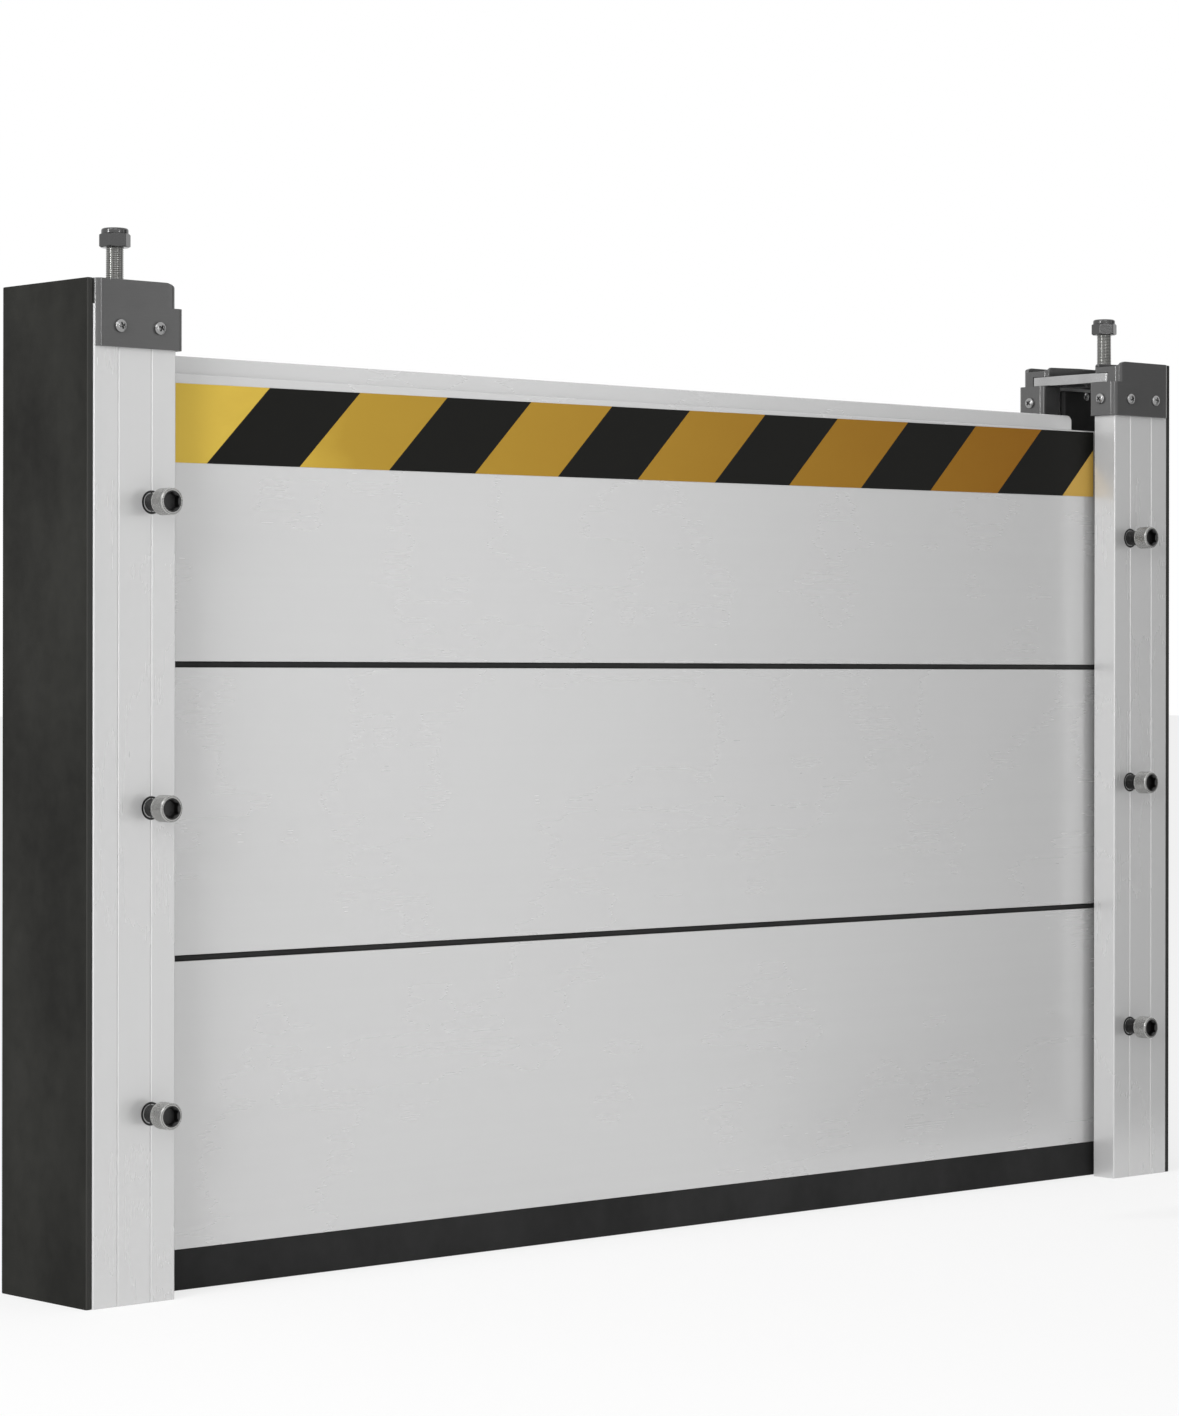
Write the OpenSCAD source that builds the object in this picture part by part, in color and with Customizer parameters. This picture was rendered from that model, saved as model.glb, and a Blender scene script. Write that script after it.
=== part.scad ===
// Demountable flood barrier, one bay: three hollow aluminium boards stacked between two U-channel
// wall posts. The origin is on the floor at the middle of the bay, in the posts' middle plane.
// +X runs along the barrier, the clamp screws are on the -Y side, and +Z is up. Millimetres.

/* [Bay] */
// Clear width between the noses of the two posts
clear_w = 966; // [400:1:2400]

/* [Posts] */
// Width of a post along the barrier
post_w = 67; // [62:0.5:90]
// Depth of a post through the barrier
post_d = 100; // [96:0.5:130]
// Height of the posts above the top board
post_over = 28; // [24:0.5:60]
// Thickness of the web that faces the wall
web_t = 5; // [3:0.5:8]
// Depth of each hollow arm beside the channel
arm_d = 22; // [16:0.5:24]
// Wall thickness of the hollow arms
arm_wall = 3; // [2:0.1:4]
// Radius of the post's outer corners
corner_r = 2.5; // [0.5:0.1:4]
// Distance of the drill grooves from the post's two edges
groove_inset = 20; // [16:0.5:25]
// Width of a drill groove
groove_w = 1.6; // [0.6:0.1:2.5]

/* [Wall pads] */
// Thickness of the rubber pad between post and wall
pad_t = 5; // [2:0.5:12]
// How far the pad stays back from the post's front and rear faces
pad_setback = 0.5; // [0:0.5:10]

/* [Boards] */
// Number of boards, stacked edge to edge
board_count = 3; // [3]
// Thickness of a board
board_t = 44; // [36:0.5:50]
// Height from one board to the next
board_pitch = 200; // [150:1:250]
// Wall thickness of a board
board_wall = 3; // [2:0.1:4]
// Visible gap between two boards
seam_h = 4; // [2:0.5:6]
// Height of the tongue on a board's top edge
tongue_h = 12; // [9:0.5:20]
// Play between a tongue and the groove it sits in, on each side
tongue_play = 0.5; // [0.3:0.1:1]
// Room above a tongue in its groove
tongue_room = 1; // [0.5:0.5:3]
// How far from the post the tongue is cut away
tongue_cut = 18; // [5:1:60]
// Radius at the upper ends of the tongue
tongue_r = 5; // [1:0.5:8]
// How far a board reaches into each post
board_bite = 55; // [48:0.5:56]
// Thickness of the plates that close a board's ends
end_cap_t = 2; // [1:0.5:3]

/* [Seals] */
// Height of the bottom seal between floor and lowest board
bottom_seal_h = 28; // [15:1:50]
// Clearance between the post's web and the seal on the rear arm's inner face
channel_seal_play = 2; // [0.5:0.5:20]
// Distance of that seal from the post's nose
channel_seal_inset = 20; // [19:0.5:22]
// How far that seal ends below the top of the post
channel_seal_drop = 3; // [1:0.5:28]
// Width of the pressure strip behind the clamp screws
strip_w = 24; // [16:1:30]
// How far the pressure strip ends below the top of the boards
strip_drop = 8; // [4:1:40]

/* [Cap brackets] */
// Thickness of the bent sheet
sheet_t = 3; // [2:0.5:4]
// Height of the bracket above the post
cap_rise = 17; // [15:0.5:30]
// How far the bracket laps down over the post
cap_lap = 28; // [16:0.5:50]
// Distance of the bracket from the post's outer side
cap_inset = 2; // [1:0.5:6]
// Radius of the bracket's upper corners over the nose
cap_corner_r = 4; // [1:0.5:6]
// Outer radius of the bracket's bends
bend_r = 5; // [4.5:0.5:6]
// Gap between the post's nose and the bracket's lower flanges
flange_gap = 2; // [0.5:0.5:4]
// How far the upper flanges' faces sit behind the post's nose
flange_back = 1; // [0.5:0.5:4]
// How far the lower sleeves reach back along the inside of the channel
return_len = 22; // [10:1:24]

/* [Press plates] */
// Thickness of the press plate
plate_t = 8; // [6:0.5:8]
// Length of the press plate through the barrier
plate_len = 82; // [76:0.5:90]
// How far the press plate reaches from the post's nose into the post
plate_in = 42; // [38:0.5:56]
// How far the press plate's face sits behind the post's nose
plate_back = 0.5; // [0:0.5:3]

/* [Press bolts] */
// Thread diameter of the press bolt
bolt_d = 12; // [8:0.5:14]
// Distance of the press bolt from the post's nose
bolt_inset = 26; // [22:0.5:28]
// Distance of the press bolt in front of the middle plane
bolt_front = 16; // [0:0.5:17]
// Height of the bolt's end above the bracket
bolt_rise = 38; // [36:0.5:80]
// Diameter of the foot that presses on the top board
foot_d = 15; // [14:0.5:16]
// Height of the foot
foot_h = 6; // [3:0.5:8]
// Width of the hexagon nut across its flats
nut_af = 19; // [17:0.5:24]
// Height of the hexagon part of the nut
nut_hex_h = 9.5; // [6:0.5:12]
// Height of the locking collar on the nut
nut_collar_h = 3.5; // [2:0.5:5]
// Diameter of the locking collar
nut_collar_d = 18.5; // [15.5:0.5:19]

/* [Clamp screws] */
// Number of clamp screws on a post
clamp_count = 3; // [3]
// Thread diameter of a clamp screw
clamp_d = 12; // [8:0.5:12]
// Diameter of the screw's cylinder head
head_d = 18; // [16:0.5:22]
// Height of the screw's head
head_h = 12; // [9:0.5:14]
// Shank that shows between head and post
shank_out = 11.5; // [8:0.5:25]
// Width of the hexagon socket across its flats
socket_af = 10; // [6:0.5:11]
// Depth of the hexagon socket
socket_deep = 6; // [3:0.5:8]
// Height of the lowest clamp screw above the lower edge of the lowest board
clamp_rise = 98; // [32:1:150]
// How much farther apart the clamp screws are than the boards
clamp_stretch = 4; // [-40:1:10]
// Outer diameter of the threaded inserts in the post
insert_d = 16; // [14:0.5:20]

/* [Sheet screws] */
// Diameter of the sheet screws' pan heads
pan_d = 9; // [7:0.5:12]
// Height of the pan heads
pan_h = 3; // [2:0.5:4]
// Thread diameter of the sheet screws
pan_thread_d = 4.8; // [3.5:0.1:6]
// How far a sheet screw reaches past the arm's wall
pan_tip = 2; // [1:0.5:5]
// Distance of the outer sheet screw from the post's outer side
pan_outer = 19; // [10:0.5:24]
// Distance of the inner sheet screw from the post's nose
pan_inner = 16; // [10:0.5:22]

/* [Warning tape] */
// Width of the striped tape
tape_w = 54; // [20:1:80]
// Thickness of the tape
tape_t = 0.4; // [0.2:0.1:1]
// Distance of the tape from the top edge, at its left end
tape_drop = 19; // [18:0.5:60]
// How much higher the tape is at its right end
tape_rise = 6; // [0:0.5:6]
// How far the tape runs in behind each post's nose
tape_tuck = 5; // [1:0.5:7]

/* [Fits] */
// Gap between moving pieces that rest on each other
rest_gap = 0.3; // [0.2:0.05:0.5]
// Radial clearance of threads and shanks in their holes
run_gap = 0.05; // [0.02:0.01:0.1]

/* [Hidden] */
$fn = 48;
// Cuts run past the faces that they open by this much
over = 1;

// Heights
boards_top = bottom_seal_h + board_count * board_pitch - seam_h;
tongue_top = boards_top + tongue_h;
post_h = tongue_top + post_over;
cap_top = post_h + cap_rise;
cap_low = post_h - cap_lap;
plate_top = post_h + plate_t;
bolt_top = cap_top + bolt_rise;
clamp_heights = [for (i = [0 : clamp_count - 1])
    bottom_seal_h + clamp_rise + i * (board_pitch + clamp_stretch)];

// Places through the barrier, all measured from the middle plane
front_face = -post_d / 2;
channel_half = post_d / 2 - arm_d;
arm_mid = post_d / 2 - arm_d / 2;
board_half = board_t / 2;
tongue_half = board_half - board_wall - tongue_play;
tongue_bite = tongue_h - seam_h;
groove_deep = tongue_bite + tongue_room;

// Lengths along the barrier
board_len = clear_w + 2 * board_bite;
tongue_len = clear_w - 2 * tongue_cut;
seal_len = board_len + 2 * end_cap_t;
bolt_x = post_w - bolt_inset;
clamp_x = post_w - groove_inset;
upper_nose_x = post_w - flange_back;
pan_reach = sheet_t + flange_gap + arm_wall + pan_tip;

// A post's own frame has x = 0 on its outer side and +x towards the bay
module left_side() translate([-clear_w / 2 - post_w, 0, 0]) children();
module right_side() mirror([1, 0, 0]) left_side() children();

// A rectangle from [x0, y0] to [x1, y1] with corners of radius r
module rounded_rect(x0, y0, x1, y1, r) {
    translate([x0 + r, y0]) square([x1 - x0 - 2 * r, y1 - y0]);
    translate([x0, y0 + r]) square([x1 - x0, y1 - y0 - 2 * r]);
    for (x = [x0 + r, x1 - r], y = [y0 + r, y1 - r]) translate([x, y]) circle(r);
}

// A box that is centred through the barrier: x range, half depth, z range
module mid_box(x0, x1, half, z0, z1) {
    translate([x0, -half, z0]) cube([x1 - x0, 2 * half, z1 - z0]);
}

// ---- Posts ----

module post_section() {
    difference() {
        rounded_rect(0, front_face, post_w, -front_face, corner_r);
        translate([web_t, -channel_half]) square([post_w, 2 * channel_half]);
        for (side = [-1, 1]) {
            translate([(web_t + post_w - arm_wall) / 2, side * arm_mid])
                square([post_w - arm_wall - web_t, arm_d - 2 * arm_wall], center = true);
            for (x = [groove_inset, post_w - groove_inset]) {
                translate([x, side * post_d / 2]) rotate(45) square(groove_w * cos(45), center = true);
            }
        }
    }
}

module post() {
    difference() {
        linear_extrude(height = post_h) post_section();
        for (z = clamp_heights) {
            translate([clamp_x, front_face - over, z]) rotate([-90, 0, 0])
                cylinder(d = insert_d, h = arm_d + 2 * over);
        }
        sheet_screw_places() pan_hole();
    }
}

module wall_pad() {
    mid_box(-pad_t, 0, post_d / 2 - pad_setback, 0, cap_top);
}

// ---- Cap brackets ----

// Each place puts the screw's axis on +Z, pointing out of the sheet, with z = 0 on its surface
module sheet_screw_places() {
    z = post_h - cap_lap / 2;
    for (side = [-1, 1]) {
        for (x = [pan_outer, post_w - pan_inner]) {
            translate([x, side * (post_d / 2 + sheet_t), z]) rotate([-side * 90, 0, 0]) children();
        }
        translate([post_w + flange_gap + sheet_t, side * arm_mid, z]) rotate([0, 90, 0]) children();
    }
}

module pan_hole() {
    translate([0, 0, -pan_reach - over]) cylinder(d = pan_thread_d + 2 * run_gap, h = pan_reach + 2 * over);
}

// The sheet's plan around one arm: outer plate, nose flange and the return inside the channel.
// The plate starts at start_x, with a bend if that is far_x. nose_x is the flange's outer face,
// and the return ends at return_x.
module arm_sleeve(far_x, start_x, nose_x, return_x) {
    cut_x = far_x - over;
    difference() {
        rounded_rect(far_x, front_face - sheet_t, nose_x, sheet_t - channel_half, bend_r);
        rounded_rect(far_x - post_w, front_face, nose_x - sheet_t, -channel_half, bend_r - sheet_t);
        translate([cut_x, front_face - sheet_t - over]) square([start_x - cut_x, sheet_t + 2 * over]);
        translate([cut_x, -channel_half - over]) square([return_x - cut_x, sheet_t + 2 * over]);
    }
}

module both_arms() for (side = [0, 1]) mirror([0, side]) children();

// Below the post's top, two sleeves wrap the arms
module lower_cap_section() {
    nose_x = post_w + flange_gap + sheet_t;
    both_arms() arm_sleeve(cap_inset, cap_inset, nose_x, nose_x - return_len);
}

// Above the post, two smaller sleeves stand on them and a web joins the sleeves
module upper_cap_section() {
    both_arms() arm_sleeve(-post_w, cap_inset + bend_r, upper_nose_x, cap_inset + sheet_t - over);
    difference() {
        rounded_rect(cap_inset, front_face - sheet_t, cap_inset + 4 * bend_r, -front_face + sheet_t, bend_r);
        translate([cap_inset + sheet_t, front_face]) square([4 * bend_r, post_d]);
        translate([cap_inset + 2 * bend_r, front_face - sheet_t - over])
            square([4 * bend_r, post_d + 2 * sheet_t + 2 * over]);
    }
}

module cap_bracket() {
    difference() {
        union() {
            translate([0, 0, cap_low]) linear_extrude(height = cap_lap) lower_cap_section();
            translate([0, 0, post_h]) linear_extrude(height = cap_rise) upper_cap_section();
        }
        // Slots for the press plate
        mid_box(post_w - plate_in - rest_gap, upper_nose_x + over, plate_len / 2 + rest_gap,
            post_h - rest_gap, plate_top + rest_gap);
        // Rounded upper corners over the nose
        difference() {
            mid_box(upper_nose_x - cap_corner_r, upper_nose_x + over, post_d, cap_top - cap_corner_r, cap_top + over);
            translate([upper_nose_x - cap_corner_r, 0, cap_top - cap_corner_r]) rotate([90, 0, 0])
                cylinder(r = cap_corner_r, h = 3 * post_d, center = true);
        }
        sheet_screw_places() pan_hole();
    }
}

module cap_screws() {
    sheet_screw_places() {
        cylinder(d = pan_d, h = pan_h);
        translate([0, 0, -pan_reach]) cylinder(d = pan_thread_d, h = pan_reach);
    }
}

// ---- Press plates and bolts ----

module bolt_axis() translate([bolt_x, -bolt_front, 0]) children();

module press_plate() {
    difference() {
        mid_box(post_w - plate_in, post_w - plate_back, plate_len / 2, post_h, plate_top);
        bolt_axis() translate([0, 0, post_h - over])
            cylinder(d = bolt_d + 2 * run_gap, h = plate_t + 2 * over);
    }
}

module press_bolt() {
    bolt_axis() {
        translate([0, 0, boards_top + rest_gap]) cylinder(d = foot_d, h = foot_h);
        translate([0, 0, boards_top + rest_gap]) cylinder(d = bolt_d, h = bolt_top - boards_top - rest_gap);
    }
}

module press_nut() {
    bolt_axis() difference() {
        union() {
            translate([0, 0, bolt_top - nut_collar_h - nut_hex_h])
                cylinder(d = nut_af / cos(30), h = nut_hex_h, $fn = 6);
            translate([0, 0, bolt_top - nut_collar_h]) cylinder(d = nut_collar_d, h = nut_collar_h);
        }
        translate([0, 0, bolt_top - nut_collar_h - nut_hex_h - over])
            cylinder(d = bolt_d + 2 * run_gap, h = nut_hex_h + nut_collar_h + 2 * over);
    }
}

// ---- Clamp screws ----

// Puts z = 0 on the post's front face and +Z into the post
module clamp_axis(z) translate([clamp_x, front_face, z]) rotate([-90, 0, 0]) children();

module clamp_screw(z) {
    clamp_axis(z) difference() {
        union() {
            translate([0, 0, -shank_out - head_h]) cylinder(d = head_d, h = head_h);
            translate([0, 0, -shank_out - over]) cylinder(d = clamp_d, h = shank_out + over + arm_d - rest_gap);
        }
        translate([0, 0, -shank_out - head_h - over])
            cylinder(d = socket_af / cos(30), h = socket_deep + over, $fn = 6);
    }
}

module clamp_inserts() {
    for (z = clamp_heights) clamp_axis(z) difference() {
        cylinder(d = insert_d - 2 * run_gap, h = arm_d);
        translate([0, 0, -over]) cylinder(d = clamp_d + 2 * run_gap, h = arm_d + 2 * over);
    }
}

module pressure_strip() {
    translate([clamp_x - strip_w / 2, -channel_half, 0])
        cube([strip_w, channel_half - board_half, boards_top - strip_drop]);
}

module channel_seal() {
    start_x = web_t + channel_seal_play;
    translate([start_x, board_half, 0])
        cube([post_w - channel_seal_inset - start_x, channel_half - board_half, post_h - channel_seal_drop]);
}

// ---- Boards ----

// Cross-section of a board without its tongue: x through the barrier, y up from its lower edge
module board_section() {
    body_h = board_pitch - seam_h;
    floor_z = groove_deep + board_wall;
    cell_h = (body_h - floor_z - 3 * board_wall) / 3;
    difference() {
        translate([-board_half, 0]) square([board_t, body_h]);
        translate([-board_half + board_wall, -over])
            square([board_t - 2 * board_wall, groove_deep + over]);
        for (i = [0 : 2]) {
            translate([-board_half + board_wall, floor_z + i * (cell_h + board_wall)])
                square([board_t - 2 * board_wall, cell_h]);
        }
    }
}

module along_x(len) {
    translate([-len / 2, 0, 0]) rotate([90, 0, 90]) linear_extrude(height = len) children();
}

// Hollow tongue with rounded upper ends, standing on z = 0
module tongue() {
    difference() {
        mid_box(-tongue_len / 2, tongue_len / 2, tongue_half, 0, tongue_h);
        mid_box(-tongue_len / 2 - over, tongue_len / 2 + over, tongue_half - board_wall,
            0, tongue_h - board_wall);
        for (end = [-1, 1]) translate([end * tongue_len / 2, 0, tongue_h]) rotate([90, 0, 0])
            difference() {
                cube([2 * tongue_r, 2 * tongue_r, board_t], center = true);
                translate([-end * tongue_r, -tongue_r, 0]) cylinder(r = tongue_r, h = board_t + over, center = true);
            }
    }
}

// Boards are numbered from 0 at the floor
function board_low(i) = bottom_seal_h + i * board_pitch;

module board(i) {
    translate([0, 0, board_low(i)]) {
        along_x(board_len) board_section();
        translate([0, 0, board_pitch - seam_h]) tongue();
    }
}

module board_end_caps(i) {
    for (end = [-1, 1]) {
        translate([end * (board_len + end_cap_t) / 2, 0, board_low(i) + (board_pitch - seam_h) / 2])
            cube([end_cap_t, board_t, board_pitch - seam_h], center = true);
    }
}

// The seal above board i lies on the shoulders beside the tongue and closes up past its ends
module seam_seal(i) {
    z = board_low(i + 1) - seam_h;
    difference() {
        mid_box(-seal_len / 2, seal_len / 2, board_half, z, z + seam_h);
        mid_box(-tongue_len / 2 - tongue_play, tongue_len / 2 + tongue_play,
            tongue_half + tongue_play / 2, z - over, z + seam_h + over);
    }
}

module bottom_seal() {
    mid_box(-seal_len / 2, seal_len / 2, board_half, 0, bottom_seal_h);
    mid_box(-board_len / 2, board_len / 2, tongue_half, 0, bottom_seal_h + tongue_bite);
}

module warning_tape() {
    tape_half = clear_w / 2 + tape_tuck;
    low = tongue_top - tape_drop - tape_w;
    translate([0, -board_half, 0]) rotate([90, 0, 0]) linear_extrude(height = tape_t)
        polygon([
            [-tape_half, low],
            [tape_half, low + tape_rise],
            [tape_half, low + tape_rise + tape_w],
            [-tape_half, low + tape_w]
        ]);
}

// ---- Colours ----

module aluminium() color([0.8, 0.8, 0.8]) children();
module bright_steel() color([0.7, 0.7, 0.72]) children();
module dark_steel() color([0.33, 0.33, 0.34]) children();
module black_rubber() color([0.12, 0.12, 0.12]) children();
module tape_yellow() color([0.85, 0.65, 0.15]) children();

aluminium() left_side() post();  // left_post
aluminium() right_side() post();  // right_post
black_rubber() left_side() wall_pad();  // left_wall_pad
black_rubber() right_side() wall_pad();  // right_wall_pad
dark_steel() left_side() cap_bracket();  // left_cap_bracket
dark_steel() right_side() cap_bracket();  // right_cap_bracket
bright_steel() left_side() cap_screws();  // left_cap_screws
bright_steel() right_side() cap_screws();  // right_cap_screws
bright_steel() left_side() press_plate();  // left_press_plate
bright_steel() right_side() press_plate();  // right_press_plate
bright_steel() left_side() press_bolt();  // left_press_bolt
bright_steel() right_side() press_bolt();  // right_press_bolt
bright_steel() left_side() press_nut();  // left_press_nut
bright_steel() right_side() press_nut();  // right_press_nut
bright_steel() left_side() clamp_screw(clamp_heights[0]);  // left_lower_clamp_screw
bright_steel() left_side() clamp_screw(clamp_heights[1]);  // left_middle_clamp_screw
bright_steel() left_side() clamp_screw(clamp_heights[2]);  // left_upper_clamp_screw
bright_steel() right_side() clamp_screw(clamp_heights[0]);  // right_lower_clamp_screw
bright_steel() right_side() clamp_screw(clamp_heights[1]);  // right_middle_clamp_screw
bright_steel() right_side() clamp_screw(clamp_heights[2]);  // right_upper_clamp_screw
bright_steel() left_side() clamp_inserts();  // left_clamp_inserts
bright_steel() right_side() clamp_inserts();  // right_clamp_inserts
black_rubber() left_side() pressure_strip();  // left_pressure_strip
black_rubber() right_side() pressure_strip();  // right_pressure_strip
black_rubber() left_side() channel_seal();  // left_channel_seal
black_rubber() right_side() channel_seal();  // right_channel_seal
aluminium() board(0);  // lower_board
aluminium() board(1);  // middle_board
aluminium() board(2);  // top_board
black_rubber() board_end_caps(0);  // lower_board_end_caps
black_rubber() board_end_caps(1);  // middle_board_end_caps
black_rubber() board_end_caps(2);  // top_board_end_caps
black_rubber() seam_seal(0);  // lower_seam_seal
black_rubber() seam_seal(1);  // upper_seam_seal
black_rubber() bottom_seal();
tape_yellow() warning_tape();
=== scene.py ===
"""Looks of one bay of a demountable flood barrier.

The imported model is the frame. It gives every size and place in metres, with +X
along the barrier, the clamp screws on the -Y side and +Z up. Each class below
dresses one sub-assembly in finer surfaces and procedural finishes.
"""
import logging
import math
from dataclasses import dataclass, field
from enum import Enum
from typing import Any, Callable, Sequence

import bmesh
import bpy
import numpy as np
from mathutils import Matrix, Vector
from mathutils.geometry import tessellate_polygon


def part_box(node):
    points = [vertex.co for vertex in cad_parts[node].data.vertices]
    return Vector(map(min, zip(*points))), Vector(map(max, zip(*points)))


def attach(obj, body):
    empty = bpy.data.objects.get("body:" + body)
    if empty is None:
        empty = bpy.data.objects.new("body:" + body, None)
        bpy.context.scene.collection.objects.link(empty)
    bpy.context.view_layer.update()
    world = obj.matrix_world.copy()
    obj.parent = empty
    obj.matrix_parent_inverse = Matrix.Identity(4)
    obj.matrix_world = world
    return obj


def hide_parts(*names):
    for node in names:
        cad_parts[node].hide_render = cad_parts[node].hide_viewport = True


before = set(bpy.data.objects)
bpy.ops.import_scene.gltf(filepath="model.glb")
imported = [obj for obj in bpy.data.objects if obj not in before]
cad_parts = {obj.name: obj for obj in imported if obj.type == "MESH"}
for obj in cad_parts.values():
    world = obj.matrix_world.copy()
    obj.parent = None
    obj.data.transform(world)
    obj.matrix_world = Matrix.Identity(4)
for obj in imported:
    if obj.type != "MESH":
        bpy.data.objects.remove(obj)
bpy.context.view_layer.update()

log = logging.getLogger("flood_barrier")
logging.basicConfig(level=logging.INFO, format="%(message)s")

MM = 0.001
TAU = 2 * math.pi
ROOT_BODY = "barrier"
SHARP = 35.0  # Degrees of turn above which an edge stays sharp, unless a piece has its own.
SAME_PLACE = 1e-7  # Points that are closer than this are one point.
HIDDEN_EDGE = 0.02 * MM  # Radius of an edge that another surface hides.
WHITE = (1.0, 1.0, 1.0, 1.0)
Colour = tuple[float, float, float]
Point = tuple[float, float, float]


# ---- directions and sides


class Facing(Enum):
    """Where a surface's own +Z points in the frame, as the rows of its rotation."""

    UP = ((1, 0, 0), (0, 1, 0), (0, 0, 1))
    FRONT = ((1, 0, 0), (0, 0, -1), (0, 1, 0))
    REAR = ((1, 0, 0), (0, 0, 1), (0, -1, 0))
    RIGHT = ((0, 0, 1), (1, 0, 0), (0, 1, 0))
    LEFT = ((0, 0, -1), (-1, 0, 0), (0, 1, 0))


class Side(Enum):
    """The two ends of the bay."""

    LEFT = "left"
    RIGHT = "right"

    @property
    def outer_x(self) -> float:
        """X of the outer side of this side's post."""
        low, high = node_box(f"{self.value}_post")
        return low[0] if self is Side.LEFT else high[0]

    @property
    def inwards(self) -> float:
        """Sign of the way from this side's wall into the bay."""
        return 1.0 if self is Side.LEFT else -1.0


def node_box(node: str) -> tuple[np.ndarray, np.ndarray]:
    """Lowest and highest corner of a CAD node as arrays, in metres."""
    low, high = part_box(node)
    return np.array(low), np.array(high)


# ---- surfaces


@dataclass
class Surface:
    """Points and faces of a piece in the making.

    Attributes:
        points: One row of x, y, z for each point.
        faces: Arrays of point numbers, one with four columns or three for each kind of face.
    """

    points: np.ndarray
    faces: list[np.ndarray] = field(default_factory=list)

    def plus(self, *others: "Surface") -> "Surface":
        """This surface and others in one.

        Args:
            others: The surfaces to add.

        Returns:
            A new surface that holds them all.
        """
        points, faces = [self.points], list(self.faces)
        count = len(self.points)
        for other in others:
            points.append(other.points)
            faces += [part + count for part in other.faces]
            count += len(other.points)
        return Surface(np.concatenate(points), faces)

    def moved(self, x: float = 0.0, y: float = 0.0, z: float = 0.0) -> "Surface":
        """This surface shifted by x, y and z."""
        return Surface(self.points + np.array([x, y, z]), self.faces)

    def facing(self, way: Facing) -> "Surface":
        """This surface turned so that its +Z points the given way."""
        return Surface(self.points @ np.array(way.value, float).T, self.faces)

    def mirrored(self, x: float = 1.0, y: float = 1.0) -> "Surface":
        """This surface with x or y times -1, and with its faces turned round to fit."""
        return Surface(self.points * (x, y, 1.0), [part[:, ::-1] for part in self.faces])

    def on_side(self, side: Side) -> "Surface":
        """A surface in a post's own frame, put in place on one side and mirrored for the right one."""
        return (self if side is Side.LEFT else self.mirrored(x=-1.0)).moved(side.outer_x)

    def build(self, name: str, finish: "Finish", sharp: float = SHARP) -> bpy.types.Object:
        """Makes the surface an object with smooth shading.

        Its normals are weighted by face area, so that a flat face stays flat up to its rounded edges.

        Args:
            name: Name of the piece.
            finish: What it is made of.
            sharp: Edges that turn by more degrees than this stay sharp.

        Returns:
            The new object, at the origin.
        """
        mesh = bpy.data.meshes.new(name)
        loops = np.concatenate([part.ravel() for part in self.faces])
        sizes = np.concatenate([np.full(len(part), part.shape[1]) for part in self.faces])
        mesh.vertices.add(len(self.points))
        mesh.vertices.foreach_set("co", self.points.astype(np.float32).ravel())
        mesh.loops.add(len(loops))
        mesh.loops.foreach_set("vertex_index", loops.astype(np.int32))
        mesh.polygons.add(len(sizes))
        mesh.polygons.foreach_set("loop_start", (np.cumsum(sizes) - sizes).astype(np.int32))
        mesh.update(calc_edges=True)
        work = bmesh.new()
        work.from_mesh(mesh)
        bmesh.ops.remove_doubles(work, verts=work.verts, dist=SAME_PLACE)
        bmesh.ops.recalc_face_normals(work, faces=work.faces)
        work.to_mesh(mesh)
        work.free()
        mesh.validate()
        mesh.polygons.foreach_set("use_smooth", np.ones(len(mesh.polygons), bool))
        mesh.set_sharp_from_angle(angle=math.radians(sharp))
        piece = bpy.data.objects.new(name, mesh)
        bpy.context.scene.collection.objects.link(piece)
        mesh.materials.append(finish.material())
        piece.modifiers.new("Weighted", "WEIGHTED_NORMAL").keep_sharp = True
        graph = bpy.context.evaluated_depsgraph_get()
        piece.data = bpy.data.meshes.new_from_object(
            piece.evaluated_get(graph), preserve_all_data_layers=True, depsgraph=graph)
        piece.modifiers.clear()
        bpy.data.meshes.remove(mesh)
        piece.data.name = name
        return piece


def unit(vectors: np.ndarray) -> np.ndarray:
    """The vectors, each divided by its length."""
    return vectors / np.linalg.norm(vectors, axis=-1, keepdims=True)


def smooth(low: float, high: float, values: np.ndarray) -> np.ndarray:
    """Smooth step: 0 up to low, 1 from high on, and 3 t^2 - 2 t^3 between them."""
    t = np.clip((values - low) / (high - low), 0, 1)
    return t * t * (3 - 2 * t)


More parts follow.
